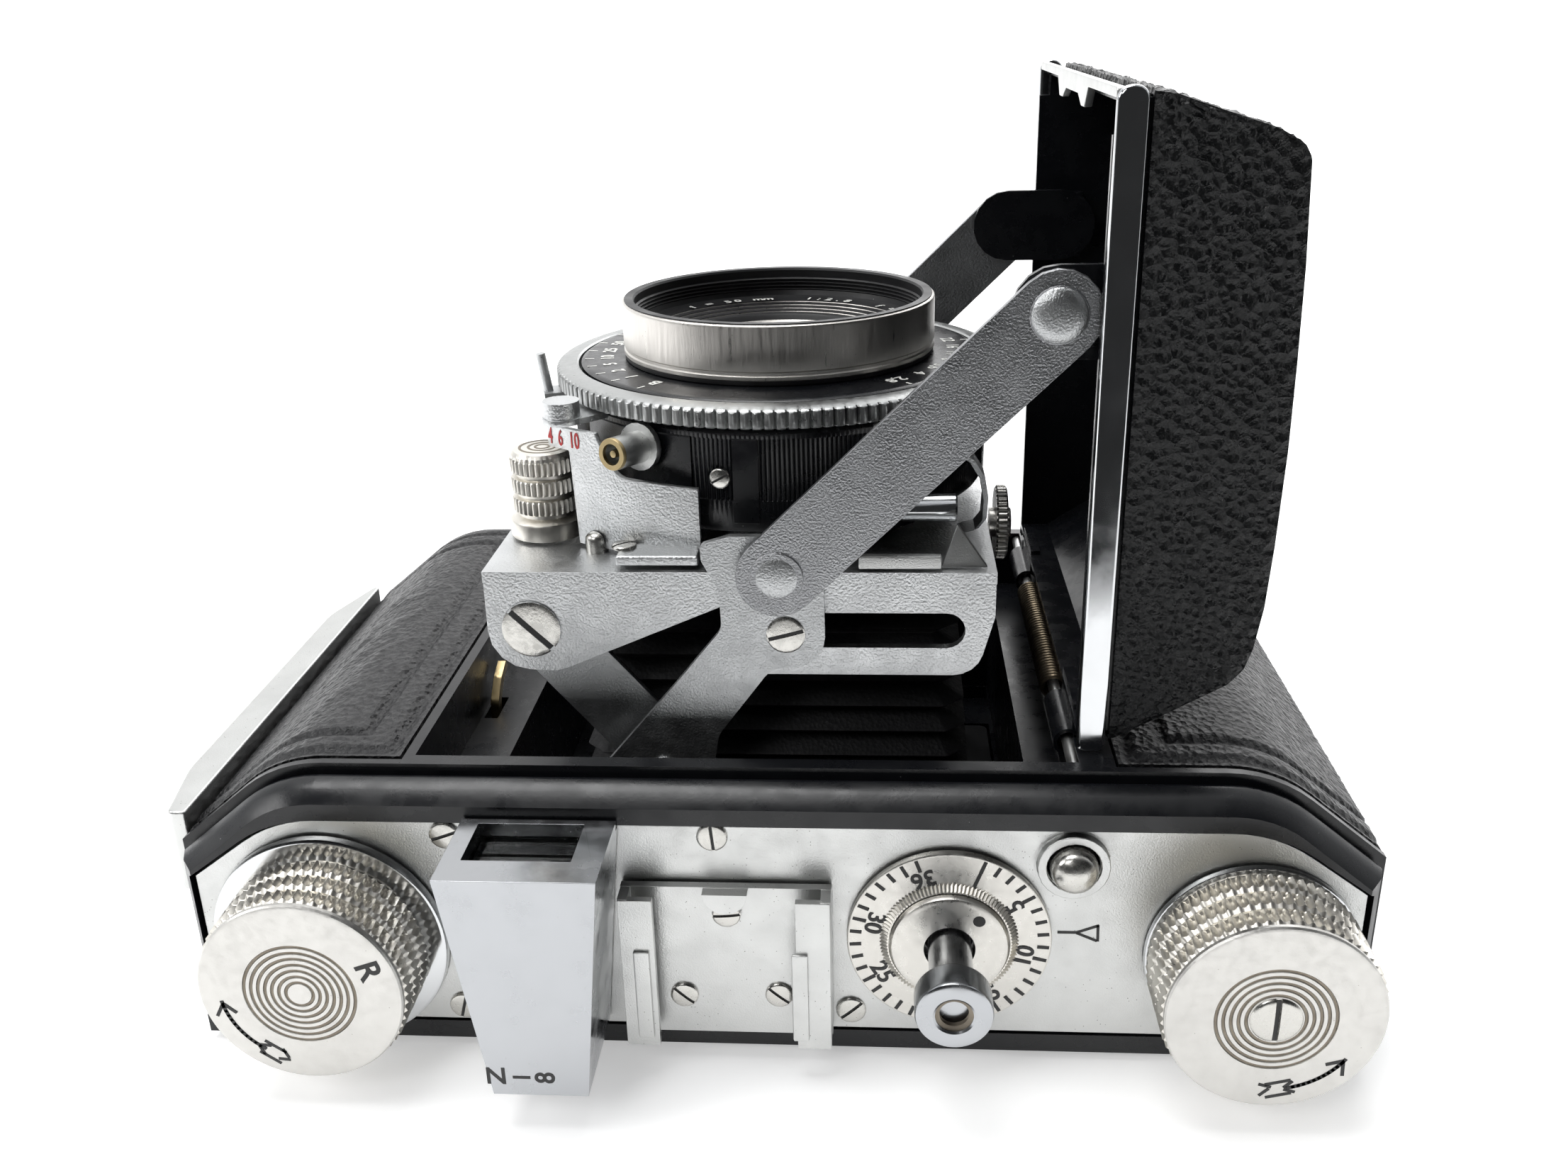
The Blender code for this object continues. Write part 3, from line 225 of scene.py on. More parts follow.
LOOKS = {"plate": frosted("plate_chrome", (0.58, 0.585, 0.575), 0.34, depth=0.03, dark=(0.1, 0.1, 0.09)),
         "standard": frosted("standard_chrome", (0.6, 0.61, 0.615), 0.34, grain=0.26, depth=0.06),
         "arm": frosted("arm_steel", (0.52, 0.53, 0.535), 0.36, grain=0.2, depth=0.055,
                        dark=(0.15, 0.15, 0.15)),
         # The strut's base is darker than the arms' steel to paint in the dark reflection of the room in
         # front of the camera: painted reflection.
         "strut": frosted("strut_steel_painted_dark_reflection", (0.36, 0.365, 0.375), 0.34, grain=0.22, depth=0.075,
                          dark=(0.08, 0.08, 0.09)), "bright": polished("bright_chrome", (0.6, 0.61, 0.62)),
         "satin": polished("finder_chrome", (0.42, 0.43, 0.445), 0.15),
         "turned": brushed("turned_metal", (0.6, 0.585, 0.55), 0.3),
         "nickel": brushed("worn_nickel", (0.74, 0.715, 0.66), 0.34, 0.005),
         "face": brushed("knob_face", (0.58, 0.57, 0.545), 0.36, 0.02),
         # Darker brownish metal laid in the bottoms of grooves and in a bore.
         "groove_dark": brushed("groove_dark_metal", (0.24, 0.21, 0.17), 0.5),
         "barrel": brushed("barrel_metal", (0.66, 0.635, 0.6), 0.34, 0.02, (3, 3, 0.2)),
         "ring": brushed("ring_metal", (0.41, 0.418, 0.415), 0.33, 0.02),
         "screw": brushed("screw_metal", (0.55, 0.54, 0.51), 0.24), "enamel": enamel("black_enamel"),
         "casting": enamel("casting_enamel", 0.27), "matt": enamel("matt_black", 0.42, (0.004, 0.004, 0.005)),
         "leather": hide("body_leather", 0.36, 0.7, 0.3, (0.007, 0.007, 0.008)),
         "door_leather": hide("door_leather_grain", 0.3, 1.0, 0.5, (0.0045, 0.005, 0.0055)),
         "bellows": hide("bellows_cloth", 0.6, 0.4, 0.05, (0.006, 0.006, 0.007)),
         "brass": brushed("dull_brass", (0.42, 0.33, 0.18), 0.35),
         "spring": brushed("dark_spring", (0.16, 0.13, 0.09), 0.4),
         "white": Look("engraved_white", (0.8, 0.8, 0.76), 0.0, 0.5).specks(0.6, 0.1, (0.3, 0.3, 0.3)),
         # Black print; the same black also fills the screw slots and the hub's hole as painted shade.
         "ink_and_shade": Look("engraved_black_and_painted_shade", (0.015, 0.015, 0.015), 0.0, 0.5).specks(0.6, 0.1, (0.1, 0.1, 0.1)),
         "red": Look("engraved_red", (0.5, 0.03, 0.03), 0.0, 0.5).specks(0.6, 0.1, (0.25, 0.1, 0.1)),}
glass = Look("coated_glass", (0.86, 0.88, 0.95), 0.0, 0.02, Transmission_Weight=1.0, IOR=1.5)
glass.bump(glass.noise(14, 2), 0.004)
LOOKS["glass"] = glass
smoked = Look("window_glass", (0.75, 0.78, 0.76), 0.0, 0.04, Transmission_Weight=1.0, IOR=1.45)
smoked.specks(0.8, 0.1, (0.5, 0.5, 0.48))
LOOKS["window"] = smoked

# ---------------------------------------------------------------- pieces


def placed(name, data):
    """A new object in the scene."""
    made = bpy.data.objects.new(name, data)
    bpy.context.scene.collection.objects.link(made)
    return made


def taken(holder):
    """The evaluated mesh of a helper object, which is then removed."""
    mesh = bpy.data.meshes.new_from_object(holder.evaluated_get(bpy.context.evaluated_depsgraph_get()))
    bpy.data.objects.remove(holder)
    return mesh


def piece(name, mesh, look, body, slot, smooth=40, replaces=()):
    """A finished mesh as a piece that rides on a body."""
    made = placed(name, mesh)
    mesh.materials.clear()
    mesh.materials.append(LOOKS[look].material)
    if smooth:
        mesh.shade_smooth()
        mesh.set_sharp_from_angle(angle=math.radians(smooth))
        if len(mesh.polygons) < MOST_WEIGHTED_FACES and name != "bellows_detail":
            made.data = weighted(mesh)
    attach(made, body)
    if replaces:
        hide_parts(*replaces)
    return made


def weighted(mesh):
    """The mesh with normals weighted by face size, so flat faces shade flat up to their rounded edges."""
    holder = placed("holder", mesh)
    normal = holder.modifiers.new("normal", "WEIGHTED_NORMAL")
    normal.mode = "FACE_AREA"
    normal.keep_sharp = True
    split = holder.modifiers.new("split", "TRIANGULATE")
    split.min_vertices = 5
    split.keep_custom_normals = True
    return taken(holder)


def stand_in(node, mesh, look, smooth=40):
    """A piece that replaces one CAD node."""
    return piece(node + "_detail", mesh, look, BODY_OF[node], SLOT_OF[node], smooth, (node,))


def bevelled(mesh, width, segments=2, angle=32, seams=()):
    """The mesh with sharp edges rounded; seams (axis, place) keep flat faces with holes in simple parts."""
    bm = bmesh.new()
    bm.from_mesh(mesh)
    bmesh.ops.remove_doubles(bm, verts=bm.verts, dist=0.004 * MM)
    for axis, place in seams:
        normal = Vector([1.0 if k == axis else 0.0 for k in range(3)])
        cut = bmesh.ops.bisect_plane(bm, geom=bm.verts[:] + bm.edges[:] + bm.faces[:], dist=1e-7,
                                     plane_co=normal * place * MM, plane_no=normal)
        for part in cut["geom_cut"]:
            if isinstance(part, bmesh.types.BMEdge):
                part.seam = True
    bmesh.ops.dissolve_limit(bm, angle_limit=math.radians(FLAT_DEGREES), verts=bm.verts, edges=bm.edges,
                             delimit={"SEAM"})
    clean = bpy.data.meshes.new("clean")
    bm.to_mesh(clean)
    bm.free()
    holder = placed("holder", clean)
    edge = holder.modifiers.new("edge", "BEVEL")
    edge.width = width * MM
    edge.segments = segments
    edge.limit_method = "ANGLE"
    edge.angle_limit = math.radians(angle)
    edge.miter_outer = "MITER_ARC"
    return taken(holder)


def refine(node, look, width=0.15, segments=2, smooth=40, angle=32, seams=()):
    """A CAD node with rounded edges and its finish."""
    return stand_in(node, bevelled(frame["nodes"][node].data, width, segments, angle, seams), look, smooth)


def welded(mesh, reach):
    """The mesh with points within reach millimetres merged, and its faces turned out."""
    bm = bmesh.new()
    bm.from_mesh(mesh)
    bmesh.ops.remove_doubles(bm, verts=bm.verts, dist=reach * MM)
    bmesh.ops.recalc_face_normals(bm, faces=bm.faces)
    bm.to_mesh(mesh)
    bm.free()
    return mesh


def mesh_of(name, points, faces):
    """A mesh from points in metres."""
    mesh = bpy.data.meshes.new(name)
    mesh.from_pydata([tuple(p) for p in points], [], faces)
    return welded(mesh, 0.002)


AXES = {
    "+Z": Matrix.Identity(3),
    "-Y": Matrix.Rotation(math.pi / 2, 3, "X"),
    "+Y": Matrix.Rotation(-math.pi / 2, 3, "X"),
    "+X": Matrix.Rotation(math.pi / 2, 3, "Y"),
}


def rungs(rows, width, closed=True):
    """Quads between successive rows of points, each row closed into a ring or left open."""
    faces = []
    for row in range(rows - 1):
        for i in range(width if closed else width - 1):
            k, m = row * width + i, row * width + (i + 1) % width
            faces.append((k, m, m + width, k + width))
    return faces


def strap(rows, closed=True):
    """Faces of a strap with four points to a section, and its two ends."""
    last = (rows - 1) * 4
    return rungs(rows, 4, closed) + [(0, 1, 2, 3), (last + 3, last + 2, last + 1, last)]


def ridges(phase):
    """Tooth shape: even ridges and valleys."""
    return np.abs(2 * phase - 1)


def lathe(profile, at=(0, 0, 0), aim="+Z", steps=96, teeth=0, wave=ridges):
    """Profile points (radius, height, tooth depth) spun about an axis; teeth are cut where depth is given."""
    count = teeth * 6 if teeth else steps
    angles = np.arange(count) * (2 * math.pi / count)
    cut = wave((angles * teeth / (2 * math.pi)) % 1.0) if teeth else np.zeros(count)
    turn = np.array(AXES[aim] if isinstance(aim, str) else aim)
    points = []
    for entry in profile:
        radius = entry[0] - (entry[2] if len(entry) > 2 else 0.0) * cut
        ring = np.stack((radius * np.cos(angles), radius * np.sin(angles), np.full(count, float(entry[1]))),
                        1)
        points.extend(((ring @ turn.T) + np.array(at)) * MM)
    faces = rungs(len(profile), count)
    if profile[0][0] < ON_AXIS or tuple(profile[0][:2]) != tuple(profile[-1][:2]):
        faces += [tuple(range(row * count, (row + 1) * count)) for row in (0, len(profile) - 1)
                  if profile[row][0] > ON_AXIS]
    return mesh_of("lathe", points, faces)


def joined(meshes):
    """Several meshes as one."""
    bm = bmesh.new()
    for mesh in meshes:
        bm.from_mesh(mesh)
    out = bpy.data.meshes.new("joined")
    bm.to_mesh(out)
    bm.free()
    return out


def bar(low, high, width=0.12):
    """A block in millimetres with rounded edges."""
    low, high = Vector(low) * MM, Vector(high) * MM
    bm = bmesh.new()
    grow = Matrix.Diagonal((*(high - low), 1))
    bmesh.ops.create_cube(bm, size=1, matrix=Matrix.Translation((low + high) / 2) @ grow)
    mesh = bpy.data.meshes.new("bar")
    bm.to_mesh(mesh)
    bm.free()
    return bevelled(mesh, width) if width else mesh


def moved(mesh, matrix):
    mesh.transform(matrix)
    return mesh


def aimed(at, aim):
    """Placement at a point in millimetres, +Z along a named axis or turned by a matrix."""
    return Matrix.Translation(Vector(at) * MM) @ (AXES[aim] if isinstance(aim, str) else aim).to_4x4()


def slotted_screw(at, aim, radius, height, turn):
    """A cheese-head screw: domed disc with a slot cut across it."""
    ring = [(0, height)]
    for a in np.linspace(0.3, 1.2, 5):
        ring.append((radius * math.sin(a), height - 0.25 * height * (1 - math.cos(a)) / (1 - math.cos(1.2))))
    ring += [(radius * 0.97, height * 0.62), (radius, height * 0.5), (radius, 0), (0, 0)]
    head = placed("head", lathe(ring, steps=40))
    reach, half = radius * 1.2, radius * SLOT / 2
    blade = placed("blade", bar((-reach, -half, height * 0.45), (reach, half, height * 2), 0))
    blade.rotation_euler = (0, 0, math.radians(turn))
    cut = head.modifiers.new("slot", "BOOLEAN")
    cut.operation = "DIFFERENCE"
    cut.object = blade
    bpy.context.view_layer.update()
    mesh = taken(head)
    bpy.data.objects.remove(blade)
    return moved(mesh, aimed(at, aim))


def slot_shadow(at, aim, radius, height, turn):
    """Painted shadow: a dark strip in the bottom of a screw's slot."""
    reach, half = radius * 0.93, radius * SLOT * 0.44
    strip = bar((-reach, -half, height * 0.46), (reach, half, height * 0.58), 0)
    return moved(strip, aimed(at, aim) @ spin(turn))


def screws(name, rows, body, slot):
    """Slotted screws: (place, aim, radius, height, turn of the slot)."""
    piece(name, joined([slotted_screw(*row) for row in rows]), "screw", body, slot)
    # A dark strip in the bottom of each slot: painted shadow.
    piece(name + "_slots", joined([slot_shadow(*row) for row in rows]), "ink_and_shade", body, slot)


def in_metres(place):
    """A placement in millimetres, in metres."""
    place = place.copy()
    place.translation = place.translation * MM
    return place


def lettering(marks):
    """Text marks as one flat mesh: (text, size in mm, 4x4 placement in mm)."""
    parts = []
    for text, size, place in marks:
        curve = bpy.data.curves.new("text", "FONT")
        curve.body = text
        curve.size = size * MM
        curve.align_x = "CENTER"
        curve.align_y = "CENTER"
        curve.extrude = MARK_DEPTH * MM
        curve.resolution_u = 4
        curve.offset = size * 0.018 * MM
        parts.append(moved(taken(placed("text", curve)), in_metres(place)))
    return joined(parts)


def spin(degrees):
    return Matrix.Rotation(math.radians(degrees), 4, "Z")


def polar(radius, degrees, z=0.0):
    """A point at a radius and an angle from +X."""
    a = math.radians(degrees)
    return Vector((radius * math.cos(a), radius * math.sin(a), z))


def on_ring(angle, radius, z):
    """Placement of a mark on a dial facing +Z, its top away from the centre."""
    return Matrix.Translation(polar(radius, angle, z)) @ spin(angle - 90)


def ticks(rows):
    """Thin strips on a dial: (placement, width, length)."""
    return joined([moved(bar((-wide / 2, -long / 2, -MARK_DEPTH), (wide / 2, long / 2, MARK_DEPTH), 0),
                         in_metres(place)) for place, wide, long in rows])


# ---------------------------------------------------------------- leather


def resample(path, step):
    """Even points along a polyline of (x, z), and their outward normals."""
    path = np.array(path, float)
    runs = np.hypot(*np.diff(path, axis=0).T)
    along = np.concatenate(([0], np.cumsum(runs)))
    count = max(2, int(along[-1] / step) + 1)
    spots = np.linspace(0, along[-1], count)
    x, z = np.interp(spots, along, path[:, 0]), np.interp(spots, along, path[:, 1])
    reach = max(1, int(0.8 / step))
    dx = np.array([x[min(i + reach, count - 1)] - x[max(i - reach, 0)] for i in range(count)])
    dz = np.array([z[min(i + reach, count - 1)] - z[max(i - reach, 0)] for i in range(count)])
    length = np.hypot(dx, dz)
    return spots, np.stack((x, z), 1), np.stack((-dz, dx), 1) / length[:, None]


def skin(path, low, high, step, height, thick=0.55, flip=1):
    """A covering bent along a path in XZ, from low to high in Y, raised by height(along, y)."""
    spots, points, normals = resample(path, step)
    normals = normals * flip
    ys = np.linspace(low, high, max(2, int((high - low) / step) + 1))
    verts = []
    wide, long = len(ys), len(spots)
    for s, p, n in zip(spots, points, normals):
        for y in ys:
            lift = height(s, y)
            verts.append(((p[0] + n[0] * lift) * MM, y * MM, (p[1] + n[1] * lift) * MM))
    faces = rungs(long, wide, False)
    rim = [j for j in range(wide)] + [i * wide + wide - 1 for i in range(1, long)]
    rim += [(long - 1) * wide + j for j in range(wide - 2, -1,
                                                 -1)] + [i * wide for i in range(long - 2, 0, -1)]
    base = len(verts)
    for k in rim:
        n, v = normals[k // wide], verts[k]
        verts.append((v[0] - n[0] * thick * MM, v[1], v[2] - n[1] * thick * MM))
    for i, k in enumerate(rim):
        j = (i + 1) % len(rim)
        faces.append((k, rim[j], base + j, base + i))
    mesh = bpy.data.meshes.new("skin")
    mesh.from_pydata(verts, [], faces)
    bm = bmesh.new()
    bm.from_mesh(mesh)
    bmesh.ops.recalc_face_normals(bm, faces=bm.faces)
    top = max(bm.faces, key=lambda f: f.calc_center_median().z)
    if top.normal.z < 0:
        bmesh.ops.reverse_faces(bm, faces=bm.faces)
    bm.to_mesh(mesh)
    bm.free()
    return mesh


def edge_band(distance):
    """Embossed border: 0 where the grain is pressed flat, 1 where it stands."""
    if distance < 0.7:
        return 0.4
    if distance < 1.7 or 4.4 < distance < 5.5:
        return -1.0
    return 1.0


def smooth_band(distance, soft=0.25):
    return sum(edge_band(distance + k * soft) for k in (-1, -0.5, 0, 0.5, 1)) / 5


def grain(x, y, size, seed):
    """Pebbled height from 0 to 1."""
    near = noise.voronoi(Vector((x / size, y / size, seed)))[0]
    return max(0.0, min(1.0, (near[1] - near[0]) * 1.6))


def body_covering(hand):
    """Body leather: embossed border lines, fine grain, and creases over the left shoulder."""
    start = 36.4 if hand < 0 else 34.0
    middle, radius, corner = Vector((44.0, 18.5)), 13.0, Vector((59.8, 22.4))
    path = [(start, 31.5)]
    path += [(middle.x + radius * math.sin(a), middle.y + radius * math.cos(a))
             for a in np.linspace(0, math.radians(39), 24)]
    path += [(59.3, 22.85), (59.68, 22.35), (59.8, 21.7), (59.8, 4.2)]
    path = [(hand * x, z) for x, z in path]

    def height(s, y):
        edge = min(s, 32.6 - abs(y))
        stand = smooth_band(edge)
        fine = grain(s, y, 0.75, 3.1 * hand) * 0.1 + noise.noise(Vector((s * 1.7, y * 1.7, hand))) * 0.03
        crease = 0.0
        if hand < 0:
            bow = s - 15.5 + 0.012 * (y - 4) ** 2 * 0.35
            fold = math.exp(-(((s - 16) / 7.5) ** 2)) * math.exp(-(((y + 2) / 22) ** 2))
            swirl = noise.noise(Vector((s * 0.16, y * 0.22, 7)))
            crease = fold * 0.2 * math.sin(y * 0.5 + bow * 1.25 + swirl * 5) * (0.6 + 0.4 * swirl)
        return 0.2 * stand + (fine + crease) * max(stand, 0)

    return skin(path, -32.5, 32.5, 0.34, height, flip=1 if hand > 0 else -1)


def build_leathers():
    for node, hand in (("leather_left", -1), ("leather_right", 1)):
        stand_in(node, body_covering(hand), "leather", 60)


# ---------------------------------------------------------------- door and body


def door_skin():
    """Door leather: coarse pebble grain on the bowed face and both side walls."""
    low, high, inner, half, step = 32.8, 92.6, 33.3, 29.9, 0.42
    face = [(inner, low), (37.5, low + 2.3), (41.5, low + 4.6), (44.0, low + 6.0), (45.4, low + 7.6),
            (46.1, low + 9.8), (46.7, low + 14.0), (47.0, low + 20), (47.2, 62), (47.1, 70), (46.9, 78),
            (46.4, high - 5.6), (45.7, high - 4.4), (43.5, high - 3.2), (38.0, high - 1.4),
            (34.6, high - 0.2), (inner, high)]

    def lift(s, y):
        pebble = grain(s + noise.noise(Vector((s * 0.4, y * 0.4, 0))) * 0.6, y, 1.0, 9.0)
        thread = 0.5 + 0.5 * math.sin(s * 5.1 + math.sin(y * 0.9) * 0.8) * math.sin(y * 5.6 + s * 0.4)
        edge = max(0.0, min(1.0, (30.0 - abs(y)) / 0.8))
        return (pebble * 0.3 + thread * 0.14) * edge - 0.14

    parts = [skin(face[::-1], -half, half, step, lift, 0.5)]
    for side in (-1, 1):
        verts = []
        zs = np.arange(low + 0.2, high - 0.1, step)
        depth = 36
        for z in zs:
            far = float(np.interp(z, [p[1] for p in face], [p[0] for p in face]))
            for j in range(depth):
                x = inner + (far - inner) * j / (depth - 1)
                sway = noise.noise(Vector((x * 0.5, z * 0.5, 3))) * 0.7
                bump = grain(x + sway, z * 1.15, 1.05, 5.0 * side) * 0.2
                bump += (0.5 + 0.5 * math.sin(z * 5.3 + math.sin(x) * 0.6) *
                         math.sin(x * 5.4 + z * 0.35)) * 0.1
                fade = min(1.0, (far - x) / 0.8, (x - inner) / 0.5 + 0.2)
                verts.append((x * MM, side * (29.92 + bump * max(0.0, fade)) * MM, z * MM))
        mesh = bpy.data.meshes.new("side")
        mesh.from_pydata(verts, [], rungs(len(zs), depth, False))
        parts.append(mesh)
    return welded(joined(parts), 0.05)


def on_side(place, side):
    """A place given on the far side, moved to one side or the other."""
    return (place[0], side * place[1], place[2])


def heads(profile, place, steps):
    """Domed heads on both sides of the linkage."""
    return joined([lathe(profile, on_side(place, side), aim, steps) for side, aim in SIDES])


def build_door():
    stand_in("door_leather", door_skin(), "door_leather", 60)
    refine("door_shell", "enamel", 0.2)
    for side in ("near", "far"):
        refine("door_strip_" + side, "bright", 0.5, 3)
        refine("door_bracket_" + side, "enamel", 0.12)
    refine("door_catch", "plate", 0.12)
    domes = heads([(0, 0.55), (1.4, 0.5), (2.3, 0.25), (2.5, 0), (0, 0)], DOOR_RIVET, 40)
    piece("strut_rivet_heads", domes, "arm", "struts", "satin_chrome")


def coil(at, length, radius, wire, turns):
    """A wound spring along Y."""
    points = []
    steps, ring = turns * 16, 8
    for i in range(steps + 1):
        a = i / 16 * 2 * math.pi
        out = Vector((math.cos(a), 0, math.sin(a)))
        centre = Vector((at[0], at[1] + length * (i / steps - 0.5), at[2])) + out * radius
        for j in range(ring):
            b = j / ring * 2 * math.pi
            points.append((centre + out * wire * math.cos(b) + Vector((0, wire * math.sin(b), 0))) * MM)
    return mesh_of("coil", points, rungs(steps + 1, ring))


def stand_in_spring():
    low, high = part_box("door_spring")
    middle = (low + high) / 2 / MM
    stand_in("door_spring", coil(middle, (high - low).y / MM - 0.7, 1.3, 0.27, 40), "spring")


def build_body():
    refine("body_casting", "casting", 0.22, 3, 35,
           seams=((0, 0), (0, -44.1), (0, 17.9), (0, 47.1), (0, -54), (1, 0), (2, 13.35)))
    stand_in_spring()
    for node, look, width, segments in (("top_plate", "plate", 0.3, 3), ("base_plate", "plate", 0.3, 3),
                                        ("tripod_bush", "turned", 0.2, 2), ("film_gate", "matt", 0.1, 2),
                                        ("back_cover", "enamel", 0.4, 3), ("back_leather", "leather", 0.2, 2),
                                        ("pressure_plate", "matt", 0.1, 2),
                                        ("pressure_spring", "brass", 0.1, 2), ("back_latch", "plate", 0.3, 2),
                                        ("door_hinge_rod", "plate", 0.1, 2),
                                        ("back_hinge_pin", "plate", 0.1, 2),
                                        ("door_latch_hook", "brass", 0.15, 2),
                                        ("parallax_lever", "plate", 0.15, 2),
                                        ("sprocket_roller", "turned", 0.08, 2),
                                        ("take_up_spool", "enamel", 0.15, 2),
                                        ("rewind_fork", "turned", 0.1, 2)):
        refine(node, look, width, segments)
    screws("plate_screws", [((x, PLATE_Y, z), "-Y", 1.5, 0.4, turn) for x, z, turn in (
        (-31.3, 25.5, 20), (-31.5, 5.1, 75), (-5.0, 25.7, 95), (8.3, 5.6, 42))], *ON_BODY)


def knurl(phase):
    """Knurl: broad teeth with narrow valleys."""
    return np.clip(1.5 * np.abs(2 * phase - 1) - 0.15, 0, 1)


def knob(node, at, height, radius, flange):
    """Plate knob: smooth flange, three knurled bands, and a face with turned grooves."""
    top, foot = height, 1.3 if flange > radius else 0.9
    step = (top - 0.75 - foot) / 3
    grooves = [(0, top - 0.05)]
    for i in range(7):
        r = 1.15 + 0.68 * i
        grooves += [(r, top), (r + 0.06, top - 0.14), (r + 0.3, top - 0.14), (r + 0.36, top)]
    face = grooves + [(radius - 0.75, top), (radius - 0.45, top - 0.07), (radius - 0.3, top - 0.25),
                      (radius - 0.3, top - 0.6), (0, top - 0.62)]
    bands = [(0, top - 0.6)]
    for i in range(3):
        head = top - 0.7 - step * i
        bands += [(radius - 0.6, head, 0), (radius - 0.1, head - 0.36, 0.3), (radius, head - 0.5, 0.75),
                  (radius, head - step + 0.72, 0.75), (radius - 0.1, head - step + 0.58, 0.3),
                  (radius - 0.75, head - step + 0.3, 0), (radius - 0.75, head - step, 0)]
    bands += [(0, foot - 0.1)]
    rim = [(0, foot), (flange - 0.35, foot), (flange - 0.08, foot - 0.12), (flange, foot - 0.4),
           (flange, 0.3), (0, 0.3)]
    body, slot = BODY_OF[node], SLOT_OF[node]
    stand_in(node, lathe(bands, at, "-Y", teeth=64, wave=knurl), "nickel", 25)
    piece(node + "_face", lathe(face, at, "-Y", steps=128), "face", body, slot, 30)
    piece(node + "_flange", lathe(rim, at, "-Y", steps=128), "bright", body, slot, 30)
    # Darker brownish rings laid in the bottoms of the face grooves.
    groove_rings = [lathe([(1.22 + 0.68 * i, top - 0.1), (1.44 + 0.68 * i, top - 0.1), (1.44 + 0.68 * i, top - 0.16),
                   (1.22 + 0.68 * i, top - 0.16), (1.22 + 0.68 * i, top - 0.1)], at, "-Y",
                  steps=96) for i in range(7)]
    piece(node + "_grooves", joined(groove_rings), "groove_dark", body, slot, 0)


def dial_place(at, angle, radius, turn=0.0):
    """Placement on a dial that faces -Y, at an angle from +X, turned about its own middle."""
    return Matrix.Translation(at) @ AXES["-Y"].to_4x4() @ Matrix.Translation(polar(radius,
                                                                                   angle)) @ spin(turn)


def arrow(name, at, start, end, radius, body):
    """Curved arrow with a fletched tail, drawn on a knob's face."""
    rows = []
    for a in np.linspace(start, end, 12):
        rows.append((dial_place(at, a, radius, a + 90), 0.42 * radius / 4, 0.36))
    way = 1 if end > start else -1
    for lean in (38, -38):
        rows.append((dial_place(at, end - way * 4, radius + 0.5 * (1 if lean > 0 else -1),
                                end + 90 + lean * way), 1.7, 0.34))
    for reach in (-0.75, 0.75):
        rows.append((dial_place(at, start - way * 8, radius + reach, start + 90), 2.4, 0.3))
        rows.append((dial_place(at, start - way * 17, radius + reach * 0.5, start + 90 + 40 * reach), 1.2,
                     0.3))
        rows.append((dial_place(at, start - way * 1, radius + reach * 0.5, start + 90 - 40 * reach), 1.1,
                     0.3))
    piece(name, ticks(rows), "ink_and_shade", body, "turned_alloy")


def build_knobs():
    knob("rewind_knob", REWIND_AXIS, 9.3, 10.3, 11.95)
    knob("wind_knob", WIND_AXIS, 9.8, 10.3, 10.3)
    screws("wind_screw", [(above(WIND_AXIS, 9.55), "-Y", 2.4, 0.6, 90)], "wind", "turned_alloy")
    at = above(REWIND_AXIS, 9.32)
    piece("rewind_letter", lettering([("R", 3.4, dial_place(at, 22, 7.6, -70))]), "ink_and_shade", "rewind",
          "turned_alloy")
    arrow("rewind_arrow", at, 234, 190, 7.9, "rewind")
    arrow("wind_arrow", above(WIND_AXIS, 9.82), 285, 325, 7.9, "wind")


def above(at, height):
    """A point at a height over the top plate, on the axis of a knob or dial."""
    return (at[0], at[1] - height, at[2])


